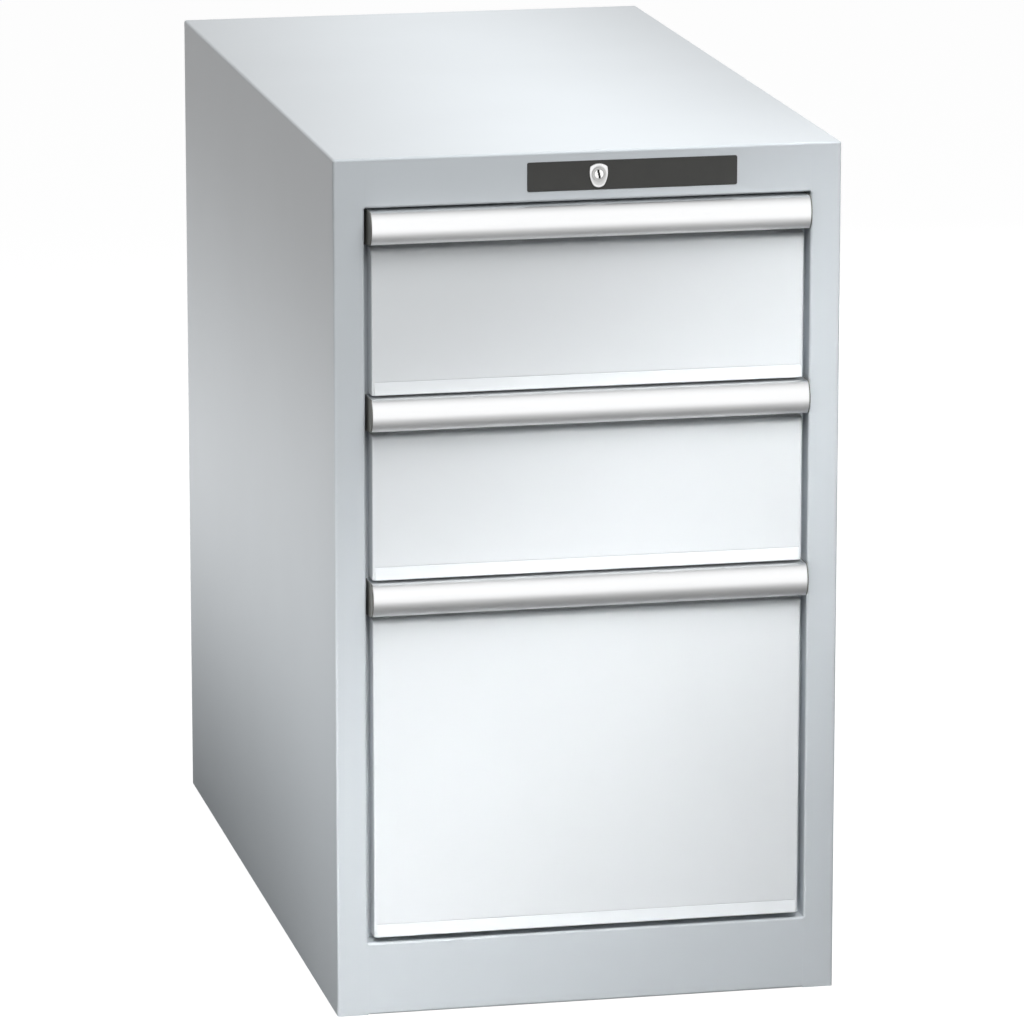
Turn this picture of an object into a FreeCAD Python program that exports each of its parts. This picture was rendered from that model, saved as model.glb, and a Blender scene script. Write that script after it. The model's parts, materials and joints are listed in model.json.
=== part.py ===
import FreeCAD, Part
import math
import os

V = FreeCAD.Vector

# Housing: a welded sheet steel box. X runs to the right, the drawers pull out towards -Y, Z is up.
HOUSING_WIDTH = 411.0
HOUSING_DEPTH = 725.0
TOP_RAIL_HEIGHT = 40.0
UPPER_DRAWER_HEIGHT = 150.0
MIDDLE_DRAWER_HEIGHT = 150.0
LOWER_DRAWER_HEIGHT = 300.0
PLINTH_HEIGHT = 60.0
HOUSING_SHEET = 1.2
BEND_RADIUS = 1.0
POST_WIDTH = 25.0
POST_DEPTH = 18.0
STOP_FLANGE_WIDTH = 8.2
RAIL_HEM_HEIGHT = 12.0
TOP_RIM_HEIGHT = 3.0
BACK_FLANGE_WIDTH = 15.0
BASE_FLANGE_HEIGHT = 15.0

# Four holes in the base plate take floor or plinth bolts.
FIXING_HOLE_DIAMETER = 11.0
FIXING_HOLE_SIDE_INSET = 60.0
FIXING_HOLE_END_INSET = 80.0

# Rivets that hold the back panel to the side panels' back flanges.
RIVET_HEAD_DIAMETER = 6.4
RIVET_SHANK_DIAMETER = 4.0
RIVET_BULB_HEIGHT = 1.5
RIVET_CLEARANCE = 0.15
RIVET_FLUSH_GAP = 0.1
RIVET_ROWS = 6
RIVET_END_INSET = 50.0

# Perforated uprights inside the side panels carry the cabinet rails.
UPRIGHT_WIDTH = 40.0
UPRIGHT_FRONT_SETBACK = 34.0
UPRIGHT_BACK_SETBACK = 45.0
UPRIGHT_TOP_GAP = 45.0
UPRIGHT_SLOT_PITCH = 25.0
UPRIGHT_SLOT_HEIGHT = 12.0
UPRIGHT_SLOT_WIDTH = 3.0
RAIL_HOOK_CLEARANCE = 0.5
RAIL_HOOK_LENGTH = 4.0

# Telescopic slide: rollers on a carriage run half in the cabinet rail and half in the drawer rail.
RAIL_SHEET = 1.5
RAIL_BEND_RADIUS = 0.5
ROLLER_DIAMETER = 26.0
ROLLER_WIDTH = 12.0
ROLLER_EDGE_RADIUS = 1.0
ROLLER_RUNNING_GAP = 0.3
ROLLER_WEB_GAP = 0.6
ROLLER_CARRIAGE_GAP = 0.3
AXLE_DIAMETER = 6.0
AXLE_FIT = 0.05
CARRIAGE_THICKNESS = 2.5
CARRIAGE_HEIGHT = 18.0
CARRIAGE_WEB_GAP = 1.5
CARRIAGE_END_MARGIN = 14.0
CARRIAGE_CORNER_RADIUS = 4.5
RAIL_LIP_GAP = 1.0
FRONT_ROLLER_SETBACK = 42.0
RAIL_FRONT_SETBACK = 24.4
RAIL_END_MARGIN = 5.0
SLIDE_HEIGHT_IN_TRAY = 24.0
OVERTRAVEL = 18.0
OPENING_CLEARANCE = 1.4

# Drawer tray: a folded sheet box with slotted walls for partitions.
TRAY_SHEET = 1.0
TRAY_BEND_RADIUS = 1.0
TRAY_FLOOR_CLEARANCE = 10.0
TRAY_TOP_CLEARANCE = 40.0
TRAY_REAR_SPACE = 95.0
TRAY_LIP_WIDTH = 6.0
WALL_SLOT_PITCH = 17.0
WALL_SLOT_WIDTH = 2.4
WALL_SLOT_LEAST_HEIGHT = 42.0
WALL_SLOT_MARGIN = 6.0

# Drawer front: a folded sheet panel, flush with the housing, stepped back behind the handle.
FRONT_SIDE_GAP = 5.2
LOWER_FRONT_GAP = 4.8
FRONT_SHEET = 1.0
FRONT_EDGE_RADIUS = 1.5
FRONT_FLANGE_WIDTH = 30.0
FRONT_LIP_HEIGHT = 10.0
FRONT_LIP_FLARE = 2.0
FRONT_LIP_ROUNDING = 0.8
FRONT_CREASE_WIDTH = 0.9
FRONT_CREASE_DEPTH = 0.4
FRONT_LIP_END_INSET = 2.0
HANDLE_POCKET_DEPTH = 15.0
HANDLE_POCKET_HEIGHT = 32.5
SHOULDER_RADIUS = 4.0

# Handle: a full width aluminium extrusion, a hook section with a bowed face, open below.
HANDLE_END_GAP = 2.4
HANDLE_TOP_GAP = 1.5
HANDLE_HEIGHT = 26.1
HANDLE_PROJECTION = 15.0
HANDLE_EDGE_REACH = 9.2
HANDLE_WALL = 2.0
HANDLE_BACK_WALL = 1.5
HANDLE_BACK_HEIGHT = 24.0
HANDLE_CORNER_RADIUS = 1.5
CAP_THICKNESS = 0.8
CAP_BACK_HEIGHT = 29.5
CAP_PLUG_LENGTH = 4.0
CAP_PLUG_HEIGHT = 5.0
CAP_PLUG_CLEARANCE = 0.2

# Lock fascia and cylinder in the top rail.
FASCIA_WIDTH = 170.0
FASCIA_HEIGHT = 23.3
FASCIA_OFFSET_X = 35.0
FASCIA_DROP = 8.3
FASCIA_CORNER_RADIUS = 1.5
FASCIA_FIT = 0.1
FASCIA_PROUD = 0.3
FASCIA_FLANGE = 3.0
FASCIA_FLANGE_THICKNESS = 1.5
LOCK_OFFSET_X = 7.5
LOCK_DROP = 19.0
ESCUTCHEON_THICKNESS = 1.4
ESCUTCHEON_HALF_WIDTH = 6.9
ESCUTCHEON_SHOULDER = 5.9
ESCUTCHEON_CROWN = 8.4
ESCUTCHEON_WAIST_WIDTH = 7.2
ESCUTCHEON_WAIST_DROP = 1.5
ESCUTCHEON_TOE_WIDTH = 4.6
ESCUTCHEON_TOE_DROP = 8.7
ESCUTCHEON_FOOT = 10.8
ESCUTCHEON_EDGE_RADIUS = 0.7
BARREL_NOSE_DIAMETER = 11.2
BARREL_NOSE_PROUD = 0.5
BARREL_BODY_DIAMETER = 16.0
BARREL_BODY_LENGTH = 20.0
BARREL_FIT = 0.1
CORE_DIAMETER = 8.8
CORE_FIT = 0.05
CORE_RECESS = 0.3
KEYWAY_DEPTH = 6.0
KEYWAY_LENGTH = 7.0
KEYWAY_WIDTH = 1.7
KEYWAY_STAGGER = 0.5

# Lock gear: a pinion on the core drives a toothed transfer bar, whose slot lifts the lock bar.
GEAR_MODULE = 1.0
PINION_TEETH = 12
PRESSURE_ANGLE = 20.0
PINION_ADDENDUM = 1.0
PINION_DEDENDUM = 0.85
RACK_ADDENDUM = 0.6
RACK_DEDENDUM = 1.3
TOOTH_BACKLASH = 0.25
GEAR_THICKNESS = 2.4
GEAR_GAP = 0.5
LOCK_TURN = 90.0
RACK_END_MARGIN = 7.0
TRANSFER_BAR_THICKNESS = 2.0
TRANSFER_BAR_BOTTOM_DROP = 35.0
TRANSFER_BAR_LEFT_REACH = 78.0
CAM_PLATE_WIDTH = 24.0
CAM_PLATE_TOP_DROP = 10.0
CAM_PIN_DIAMETER = 4.0
CAM_PIN_FIT = 0.1
CAM_PIN_DROP = 28.0
TRANSFER_GUIDE_OFFSET = 100.0
TRANSFER_GUIDE_EDGE = 3.0
TRANSFER_GUIDE_FOOT = 10.0
GUIDE_SHEET = 1.5
GUIDE_CLEARANCE = 0.3
GUIDE_TOP_DROP = 10.0

# Lock bar: a vertical strip behind the right post. Its fingers rise in front of the drawer catches.
LOCK_BAR_WIDTH = 14.0
LOCK_BAR_THICKNESS = 2.0
LOCK_BAR_SIDE_INSET = 21.5
LOCK_BAR_FLANGE_GAP = 0.5
LOCK_BAR_END = 8.0
LOCK_FINGER_HEIGHT = 8.0
LOCK_FINGER_THICKNESS = 2.0
LOCK_FINGER_RAIL_GAP = 2.2
LOCK_FINGER_OVERLAP = 5.0
LOCK_FINGER_LAP = 12.0
LOCK_FREE_PLAY = 0.7
CATCH_SHEET = 2.0
CATCH_HEIGHT = 8.0
CATCH_FOOT_LENGTH = 7.0
CATCH_LIFT_GAP = 1.0
CATCH_SIDE_GAP = 0.9
LOCK_GUIDE_RISE = 50.0
LOCK_GUIDE_DEPTH = 10.0
LOCK_GUIDE_LEG = 12.0

# Cutters run past the faces they cut by this much, and points this close count as one.
CUT_MARGIN = 1.0
SAME_POINT = 0.05

# Heights worked out from the sizes above, from the floor up.
LOWER_BOTTOM = PLINTH_HEIGHT
MIDDLE_BOTTOM = LOWER_BOTTOM + LOWER_DRAWER_HEIGHT
UPPER_BOTTOM = MIDDLE_BOTTOM + MIDDLE_DRAWER_HEIGHT
OPENING_TOP = UPPER_BOTTOM + UPPER_DRAWER_HEIGHT
HOUSING_HEIGHT = OPENING_TOP + TOP_RAIL_HEIGHT
DRAWERS = {
    "upper": (UPPER_BOTTOM, UPPER_DRAWER_HEIGHT),
    "middle": (MIDDLE_BOTTOM, MIDDLE_DRAWER_HEIGHT),
    "lower": (LOWER_BOTTOM, LOWER_DRAWER_HEIGHT),
}

# Across the width, from the middle out.
HALF_WIDTH = HOUSING_WIDTH / 2
HALF_OPENING = HALF_WIDTH - POST_WIDTH
STOP_EDGE = HALF_OPENING - STOP_FLANGE_WIDTH
INNER_WALL = HALF_WIDTH - HOUSING_SHEET
CARRIAGE_OUTER = STOP_EDGE - OPENING_CLEARANCE
CARRIAGE_INNER = CARRIAGE_OUTER - CARRIAGE_THICKNESS
ROLLER_OUTER = CARRIAGE_INNER - ROLLER_CARRIAGE_GAP
ROLLER_INNER = ROLLER_OUTER - ROLLER_WIDTH
ROLLER_MIDDLE = (ROLLER_OUTER + ROLLER_INNER) / 2
TRAY_HALF_WIDTH = ROLLER_INNER - ROLLER_WEB_GAP - RAIL_SHEET
CABINET_WEB = CARRIAGE_OUTER + CARRIAGE_WEB_GAP + RAIL_SHEET
DRAWER_LIP_EDGE = ROLLER_MIDDLE - RAIL_LIP_GAP / 2
CABINET_LIP_EDGE = ROLLER_MIDDLE + RAIL_LIP_GAP / 2
FRONT_HALF_WIDTH = HALF_OPENING - FRONT_SIDE_GAP
HANDLE_HALF_LENGTH = HALF_OPENING - HANDLE_END_GAP - CAP_THICKNESS

# Front to back, as depths behind the housing's front face.
FRONT_Y = -(HOUSING_DEPTH + HANDLE_PROJECTION) / 2 + HANDLE_PROJECTION
STOP_BACK = POST_DEPTH + HOUSING_SHEET
PANEL_DEPTH = HANDLE_POCKET_DEPTH + FRONT_SHEET
TRAY_FRONT = PANEL_DEPTH
TRAY_BACK = HOUSING_DEPTH - TRAY_REAR_SPACE
TRAY_LENGTH = TRAY_BACK - TRAY_FRONT - 2 * TRAY_SHEET
DRAWER_TRAVEL = TRAY_LENGTH + OVERTRAVEL
ROLLER_PITCH = DRAWER_TRAVEL / 2
ROLLER_SETBACKS = {
    "front": FRONT_ROLLER_SETBACK,
    "middle": FRONT_ROLLER_SETBACK + ROLLER_PITCH,
    "rear": FRONT_ROLLER_SETBACK + 2 * ROLLER_PITCH,
}
ROLLER_RADIUS = ROLLER_DIAMETER / 2
RAIL_HALF_HEIGHT = ROLLER_RADIUS + ROLLER_RUNNING_GAP + RAIL_SHEET
RAIL_END = ROLLER_SETBACKS["rear"] + ROLLER_RADIUS + RAIL_END_MARGIN

# Lock positions.
LOCK_Z = HOUSING_HEIGHT - LOCK_DROP
PITCH_RADIUS = GEAR_MODULE * PINION_TEETH / 2
RACK_PITCH_Z = LOCK_Z - PITCH_RADIUS
LOCK_STROKE = PITCH_RADIUS * math.radians(LOCK_TURN)
BARREL_FRONT = -FASCIA_PROUD - ESCUTCHEON_THICKNESS - BARREL_NOSE_PROUD
BARREL_BODY_START = HOUSING_SHEET + FASCIA_FLANGE_THICKNESS
BARREL_BACK = BARREL_BODY_START + BARREL_BODY_LENGTH
PINION_START = BARREL_BACK + GEAR_GAP
TRANSFER_BAR_START = PINION_START + (GEAR_THICKNESS - TRANSFER_BAR_THICKNESS) / 2
TRANSFER_BAR_BOTTOM = HOUSING_HEIGHT - TRANSFER_BAR_BOTTOM_DROP
TRANSFER_BAR_TOP = RACK_PITCH_Z - RACK_DEDENDUM
LOCK_BAR_START = STOP_BACK + LOCK_BAR_FLANGE_GAP
LOCK_FINGER_START = LOCK_BAR_START + LOCK_BAR_THICKNESS
LOCK_BAR_X = HALF_WIDTH - LOCK_BAR_SIDE_INSET
CATCH_START = LOCK_FINGER_START + LOCK_FINGER_THICKNESS + LOCK_FREE_PLAY
CATCH_TIP = CARRIAGE_OUTER - CATCH_SIDE_GAP
CAM_PIN_Z = HOUSING_HEIGHT - CAM_PIN_DROP


def block(x0, x1, depth0, depth1, z0, z1):
    """A box between two x, two depths behind the front face and two heights."""
    corner = V(x0, FRONT_Y + depth0, z0)
    return Part.makeBox(x1 - x0, depth1 - depth0, z1 - z0, corner)


def cross_rod(radius, x0, x1, depth, z):
    """A round rod along X."""
    return Part.makeCylinder(radius, x1 - x0, V(x0, FRONT_Y + depth, z), V(1, 0, 0))


def depth_rod(radius, depth0, depth1, x, z):
    """A round rod that points backwards, along Y."""
    return Part.makeCylinder(radius, depth1 - depth0, V(x, FRONT_Y + depth0, z), V(0, 1, 0))


def mirrored(shape):
    """The same piece for the other side of the cabinet."""
    return shape.mirror(V(0, 0, 0), V(1, 0, 0))


def both_sides(shape):
    return Part.makeCompound([mirrored(shape), shape])


def plan_point(x, depth, z=0.0):
    """A point of an outline that is drawn seen from above."""
    return V(x, FRONT_Y + depth, z)


def side_point(depth, z, x=0.0):
    """A point of an outline that is drawn seen from the side."""
    return V(x, FRONT_Y + depth, z)


def front_point(x, z, depth=0.0):
    """A point of an outline that is drawn seen from the front."""
    return V(x, FRONT_Y + depth, z)


def polygon_solid(points, travel):
    """Extrude a closed outline with straight sides."""
    return Part.Face(Part.makePolygon(points + points[:1])).extrude(travel)


def outline_solid(edges, travel):
    """Extrude a closed outline of lines and arcs."""
    wire = Part.Wire([edge.toShape() for edge in edges])
    return Part.Face(wire).extrude(travel)


def unit(a, b):
    length = math.hypot(b[0] - a[0], b[1] - a[1])
    return ((b[0] - a[0]) / length, (b[1] - a[1]) / length)


def moved(point, direction, distance):
    return (point[0] + direction[0] * distance, point[1] + direction[1] * distance)


def left_of(direction):
    return (-direction[1], direction[0])


def bend(corner, before, after, sheet, inside_radius):
    """The arcs of one fold, on the outline's own line and on the line one sheet to its left."""
    turn = 1 if before[0] * after[1] - before[1] * after[0] > 0 else -1
    angle = math.acos(before[0] * after[0] + before[1] * after[1])
    own_radius = inside_radius + (sheet if turn > 0 else 0)
    left_radius = inside_radius + (0 if turn > 0 else sheet)
    start = moved(corner, before, -own_radius * math.tan(angle / 2))
    normal_in = left_of(before)
    normal_out = left_of(after)
    centre = moved(start, normal_in, turn * own_radius)
    middle = unit((0, 0), (normal_in[0] + normal_out[0], normal_in[1] + normal_out[1]))
    normals = (normal_in, middle, normal_out)
    own = [moved(centre, normal, -turn * own_radius) for normal in normals]
    left = [moved(centre, normal, -turn * left_radius) for normal in normals]
    return own, left


def folded_sheet(points, sheet, inside_radius, place, travel):
    """A bent sheet. The outline runs along one face, and the sheet lies to its left."""
    directions = [unit(a, b) for a, b in zip(points, points[1:])]
    own_line = [points[0]]
    left_line = [moved(points[0], left_of(directions[0]), sheet)]
    for corner, before, after in zip(points[1:], directions, directions[1:]):
        own, left = bend(corner, before, after, sheet, inside_radius)
        own_line.extend(own)
        left_line.extend(left)
    own_line.append(points[-1])
    left_line.append(moved(points[-1], left_of(directions[-1]), sheet))
    edges = []
    for line in (own_line, left_line):
        spots = [place(*spot) for spot in line]
        for index in range(0, len(spots) - 1, 3):
            edges.append(Part.LineSegment(spots[index], spots[index + 1]))
        for index in range(1, len(spots) - 2, 3):
            edges.append(Part.Arc(spots[index], spots[index + 1], spots[index + 2]))
    edges.append(Part.LineSegment(place(*own_line[0]), place(*left_line[0])))
    edges.append(Part.LineSegment(place(*own_line[-1]), place(*left_line[-1])))
    ordered = Part.__sortEdges__([edge.toShape() for edge in edges])
    return Part.Face(Part.Wire(ordered)).extrude(travel)


def round_edges_near(shape, radius, spots):
    """Round the edges whose middle lies at one of the spots."""
    chosen = []
    for edge in shape.Edges:
        middle = edge.valueAt((edge.FirstParameter + edge.LastParameter) / 2)
        if any(middle.distanceToPoint(spot) < SAME_POINT for spot in spots):
            chosen.append(edge)
    return shape.makeFillet(radius, chosen)


def slide_height(bottom):
    """Height of the roller axles of the drawer whose unit starts at this height."""
    return bottom + TRAY_FLOOR_CLEARANCE + SLIDE_HEIGHT_IN_TRAY


def side_panel():
    """Right side panel: outer wall, front post with its return and stop flange, back flange."""
    wall = [
        (HALF_WIDTH, 0),
        (HALF_WIDTH, HOUSING_DEPTH),
        (HALF_WIDTH - BACK_FLANGE_WIDTH, HOUSING_DEPTH),
    ]
    plain = [(HALF_OPENING, 0)] + wall
    post = [(STOP_EDGE, POST_DEPTH), (HALF_OPENING, POST_DEPTH)] + plain
    top = HOUSING_HEIGHT - TOP_RIM_HEIGHT
    spans = [(plain, 0, PLINTH_HEIGHT), (post, PLINTH_HEIGHT, OPENING_TOP), (plain, OPENING_TOP, top)]
    pieces = []
    for outline, z0, z1 in spans:
        piece = folded_sheet(outline, HOUSING_SHEET, BEND_RADIUS, plan_point, V(0, 0, z1 - z0))
        pieces.append(piece.translated(V(0, 0, z0)))
    panel = pieces[0].fuse(pieces[1:]).removeSplitter()
    for z in rivet_heights():
        panel = panel.cut(rivet(z, RIVET_CLEARANCE))
    return panel


def rivet_heights():
    span = HOUSING_HEIGHT - 2 * RIVET_END_INSET
    return [RIVET_END_INSET + span * row / (RIVET_ROWS - 1) for row in range(RIVET_ROWS)]


def rivet(z, clearance=0.0):
    """Flush back rivet on the right: head in the flange, shank in the back panel, bulb inside."""
    x = HALF_WIDTH - BACK_FLANGE_WIDTH / 2
    head_end = HOUSING_DEPTH if clearance else HOUSING_DEPTH - RIVET_FLUSH_GAP
    flange = HOUSING_DEPTH - HOUSING_SHEET
    panel = flange - HOUSING_SHEET
    head_radius = RIVET_HEAD_DIAMETER / 2
    shank_radius = RIVET_SHANK_DIAMETER / 2
    head = depth_rod(head_radius + clearance, flange, head_end, x, z)
    shank = depth_rod(shank_radius + clearance, panel, flange, x, z)
    if clearance:
        return head.fuse(shank)
    bulb = depth_rod(head_radius, panel - RIVET_BULB_HEIGHT, panel, x, z)
    return head.fuse([shank, bulb])


def back_panel():
    """Flat sheet inside the back flanges."""
    back = HOUSING_DEPTH - HOUSING_SHEET
    top = HOUSING_HEIGHT - TOP_RIM_HEIGHT
    half = INNER_WALL - BEND_RADIUS
    panel = block(-half, half, back - HOUSING_SHEET, back, 0, top)
    for z in rivet_heights():
        hole = rivet(z, RIVET_CLEARANCE)
        panel = panel.cut([hole, mirrored(hole)])
    return panel


def back_panel_rivets():
    rivets = [rivet(z) for z in rivet_heights()]
    return Part.makeCompound(rivets + [mirrored(piece) for piece in rivets])


def top_panel():
    """Flat top whose edges turn down into a short rim, welded to the walls below it."""
    low = HOUSING_HEIGHT - TOP_RIM_HEIGHT
    outer_radius = BEND_RADIUS + HOUSING_SHEET
    outer = block(-HALF_WIDTH, HALF_WIDTH, 0, HOUSING_DEPTH, low, HOUSING_HEIGHT)
    outer = outer.makeFillet(outer_radius, edges_above(outer, low))
    sheet = HOUSING_SHEET
    inner = block(-INNER_WALL, INNER_WALL, sheet, HOUSING_DEPTH - sheet, low, HOUSING_HEIGHT - sheet)
    inner = inner.makeFillet(BEND_RADIUS, edges_above(inner, low))
    return outer.cut(inner)


def edges_above(shape, height):
    """The edges that don't lie flat at the given height."""
    return [edge for edge in shape.Edges if edge.BoundBox.ZMax > height + SAME_POINT]


def bottom_panel():
    """Base plate with upturned flanges, welded between the side panels."""
    front = STOP_BACK + HOUSING_SHEET
    back = HOUSING_DEPTH - 2 * HOUSING_SHEET
    sheet = HOUSING_SHEET
    outer = block(-INNER_WALL, INNER_WALL, front, back, 0, BASE_FLANGE_HEIGHT)
    side = INNER_WALL - sheet
    inner = block(-side, side, front + sheet, back - sheet, sheet, BASE_FLANGE_HEIGHT)
    panel = outer.cut(inner)
    radius = FIXING_HOLE_DIAMETER / 2
    for x in (-HALF_WIDTH + FIXING_HOLE_SIDE_INSET, HALF_WIDTH - FIXING_HOLE_SIDE_INSET):
        for depth in (FIXING_HOLE_END_INSET, HOUSING_DEPTH - FIXING_HOLE_END_INSET):
            panel = panel.cut(Part.makeCylinder(radius, sheet, plan_point(x, depth)))
    return panel


def cross_rail(points):
    """A folded rail across the front, between the two posts."""
    start = -HALF_OPENING
    width = V(2 * HALF_OPENING, 0, 0)

    def place(depth, z):
        return side_point(depth, z, start)

    return folded_sheet(points, HOUSING_SHEET, BEND_RADIUS, place, width)


def top_front_rail():
    """Rail above the drawers, with the window for the lock fascia."""
    rail = cross_rail([
        (0, HOUSING_HEIGHT - TOP_RIM_HEIGHT),
        (0, OPENING_TOP),
        (STOP_BACK, OPENING_TOP),
        (STOP_BACK, OPENING_TOP + RAIL_HEM_HEIGHT),
    ])
    return rail.cut(fascia_plate(FASCIA_FIT, -CUT_MARGIN, HOUSING_SHEET + CUT_MARGIN))


def plinth_rail():
    """Rail below the drawers, down to the floor."""
    return cross_rail([
        (STOP_BACK, PLINTH_HEIGHT - RAIL_HEM_HEIGHT),
        (STOP_BACK, PLINTH_HEIGHT),
        (0, PLINTH_HEIGHT),
        (0, 0),
        (STOP_BACK + HOUSING_SHEET, 0),
    ])


def hook_heights(bottom, height):
    """Heights of the upright's slots beside one drawer, in step with that drawer's slide."""
    middle = slide_height(bottom)
    low = math.ceil((bottom - middle + UPRIGHT_SLOT_HEIGHT) / UPRIGHT_SLOT_PITCH)
    high = math.floor((bottom + height - middle - UPRIGHT_SLOT_HEIGHT) / UPRIGHT_SLOT_PITCH)
    return [middle + step * UPRIGHT_SLOT_PITCH for step in range(low, high + 1)]


def upright_setbacks():
    """Depth of the front face of the front and of the rear upright."""
    return [UPRIGHT_FRONT_SETBACK, HOUSING_DEPTH - UPRIGHT_BACK_SETBACK - UPRIGHT_WIDTH]


def upright(setback):
    """Channel between a cabinet rail and the side panel, with a column of slots."""
    outline = [
        (INNER_WALL, setback + UPRIGHT_WIDTH),
        (CABINET_WEB, setback + UPRIGHT_WIDTH),
        (CABINET_WEB, setback),
        (INNER_WALL, setback),
    ]
    top = HOUSING_HEIGHT - UPRIGHT_TOP_GAP
    rise = V(0, 0, top - BASE_FLANGE_HEIGHT)
    channel = folded_sheet(outline, HOUSING_SHEET, BEND_RADIUS, plan_point, rise)
    channel = channel.translated(V(0, 0, BASE_FLANGE_HEIGHT))
    middle = setback + UPRIGHT_WIDTH / 2
    half_width = UPRIGHT_SLOT_WIDTH / 2
    half_height = UPRIGHT_SLOT_HEIGHT / 2
    web_back = CABINET_WEB + HOUSING_SHEET + CUT_MARGIN
    slots = []
    for bottom, height in DRAWERS.values():
        for z in hook_heights(bottom, height):
            if z + half_height < top:
                slots.append(block(CABINET_WEB - CUT_MARGIN, web_back, middle - half_width,
                                   middle + half_width, z - half_height, z + half_height))
    return channel.cut(slots)


def rail_uprights():
    pieces = [upright(setback) for setback in upright_setbacks()]
    return Part.makeCompound([mirrored(piece) for piece in pieces] + pieces)


def rail_section(tip, web, z):
    """Outline of a channel rail that opens from its web towards its lip tips."""
    low = z - RAIL_HALF_HEIGHT
    high = z + RAIL_HALF_HEIGHT
    if web > tip:
        return [(tip, low), (web, low), (web, high), (tip, high)]
    return [(tip, high), (web, high), (web, low), (tip, low)]


def channel_rail(tip, web, z):
    """A channel rail on the right."""

    def place(x, height):
        return front_point(x, height, RAIL_FRONT_SETBACK)

    length = V(0, RAIL_END - RAIL_FRONT_SETBACK, 0)
    return folded_sheet(rail_section(tip, web, z), RAIL_SHEET, RAIL_BEND_RADIUS, place, length)


def cabinet_rail(bottom):
    """The right fixed rail of one drawer, with a hook in each upright."""
    z = slide_height(bottom)
    rail = channel_rail(CABINET_LIP_EDGE, CABINET_WEB, z)
    half_width = UPRIGHT_SLOT_WIDTH / 2 - RAIL_HOOK_CLEARANCE
    half_height = UPRIGHT_SLOT_HEIGHT / 2 - RAIL_HOOK_CLEARANCE
    hooks = []
    for setback in upright_setbacks():
        middle = setback + UPRIGHT_WIDTH / 2
        hooks.append(block(CABINET_WEB - RAIL_SHEET / 2, CABINET_WEB + RAIL_HOOK_LENGTH,
                           middle - half_width, middle + half_width,
                           z - half_height, z + half_height))
    return rail.fuse(hooks).removeSplitter()


def cabinet_rails():
    """All fixed rails: a pair for each drawer."""
    rails = [cabinet_rail(bottom) for bottom, _ in DRAWERS.values()]
    return Part.makeCompound([mirrored(rail) for rail in rails] + rails)


def drawer_rails(bottom):
    """The two rails fixed to one drawer's walls."""
    z = slide_height(bottom)
    return both_sides(channel_rail(DRAWER_LIP_EDGE, TRAY_HALF_WIDTH, z))


def carriage(bottom):
    """Carriage bar of the right slide with its three riveted axles."""
    z = slide_height(bottom)
    half_height = CARRIAGE_HEIGHT / 2
    start = ROLLER_SETBACKS["front"] - CARRIAGE_END_MARGIN
    end = ROLLER_SETBACKS["rear"] + CARRIAGE_END_MARGIN
    bar = block(CARRIAGE_INNER, CARRIAGE_OUTER, start, end, z - half_height, z + half_height)
    rounded = []
    for depth in (start, end):
        for height in (z - half_height, z + half_height):
            rounded.append(V((CARRIAGE_INNER + CARRIAGE_OUTER) / 2, FRONT_Y + depth, height))
    bar = round_edges_near(bar, CARRIAGE_CORNER_RADIUS, rounded)
    axles = []
    for setback in ROLLER_SETBACKS.values():
        axles.append(cross_rod(AXLE_DIAMETER / 2, ROLLER_INNER, CARRIAGE_INNER, setback, z))
    return bar.fuse(axles)


def roller(bottom, setback):
    """One roller of the right slide, bored to run on its axle."""
    z = slide_height(bottom)
    wheel = cross_rod(ROLLER_RADIUS, ROLLER_INNER, ROLLER_OUTER, setback, z)
    rims = [edge for edge in wheel.Edges if edge.BoundBox.XLength < SAME_POINT]
    wheel = wheel.makeFillet(ROLLER_EDGE_RADIUS, rims)
    return wheel.cut(cross_rod(AXLE_DIAMETER / 2 + AXLE_FIT, ROLLER_INNER, ROLLER_OUTER, setback, z))


def tray_heights(bottom, height):
    """Underside of the tray's floor and underside of its wall lips."""
    return bottom + TRAY_FLOOR_CLEARANCE, bottom + height - TRAY_TOP_CLEARANCE


def wall_slots(low, high):
    """Cutters for the partition slots, in rows above the slide and in columns along the walls."""
    first = low + SLIDE_HEIGHT_IN_TRAY + RAIL_HALF_HEIGHT + WALL_SLOT_MARGIN
    rows = max(1, int((high - first) // (WALL_SLOT_LEAST_HEIGHT + WALL_SLOT_MARGIN)))
    pitch = (high - first) / rows
    reach = TRAY_HALF_WIDTH + CUT_MARGIN
    cutters = []
    for row in range(rows):
        z0 = first + row * pitch
        z1 = z0 + pitch - WALL_SLOT_MARGIN
        depth = TRAY_FRONT + TRAY_SHEET + WALL_SLOT_PITCH
        while depth < TRAY_BACK - WALL_SLOT_PITCH / 2:
            cutters.append(block(-reach, reach, depth - WALL_SLOT_WIDTH / 2,
                                 depth + WALL_SLOT_WIDTH / 2, z0, z1))
            depth += WALL_SLOT_PITCH
    return cutters


def tray(bottom, height):
    """Drawer tray: folded floor and side walls with outward lips, front and rear walls."""
    low, high = tray_heights(bottom, height)
    lip = TRAY_HALF_WIDTH + TRAY_LIP_WIDTH
    outline = [
        (-lip, high),
        (-TRAY_HALF_WIDTH, high),
        (-TRAY_HALF_WIDTH, low),
        (TRAY_HALF_WIDTH, low),
        (TRAY_HALF_WIDTH, high),
        (lip, high),
    ]

    def place(x, z):
        return front_point(x, z, TRAY_FRONT)

    length = V(0, TRAY_BACK - TRAY_FRONT, 0)
    body = folded_sheet(outline, TRAY_SHEET, TRAY_BEND_RADIUS, place, length)
    side = TRAY_HALF_WIDTH - TRAY_SHEET / 2
    floor = low + TRAY_SHEET / 2
    front_wall = block(-side, side, TRAY_FRONT, TRAY_FRONT + TRAY_SHEET, floor, high)
    rear_wall = block(-side, side, TRAY_BACK - TRAY_SHEET, TRAY_BACK, floor, high)
    return body.fuse([front_wall, rear_wall]).cut(wall_slots(low, high)).removeSplitter()


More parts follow.
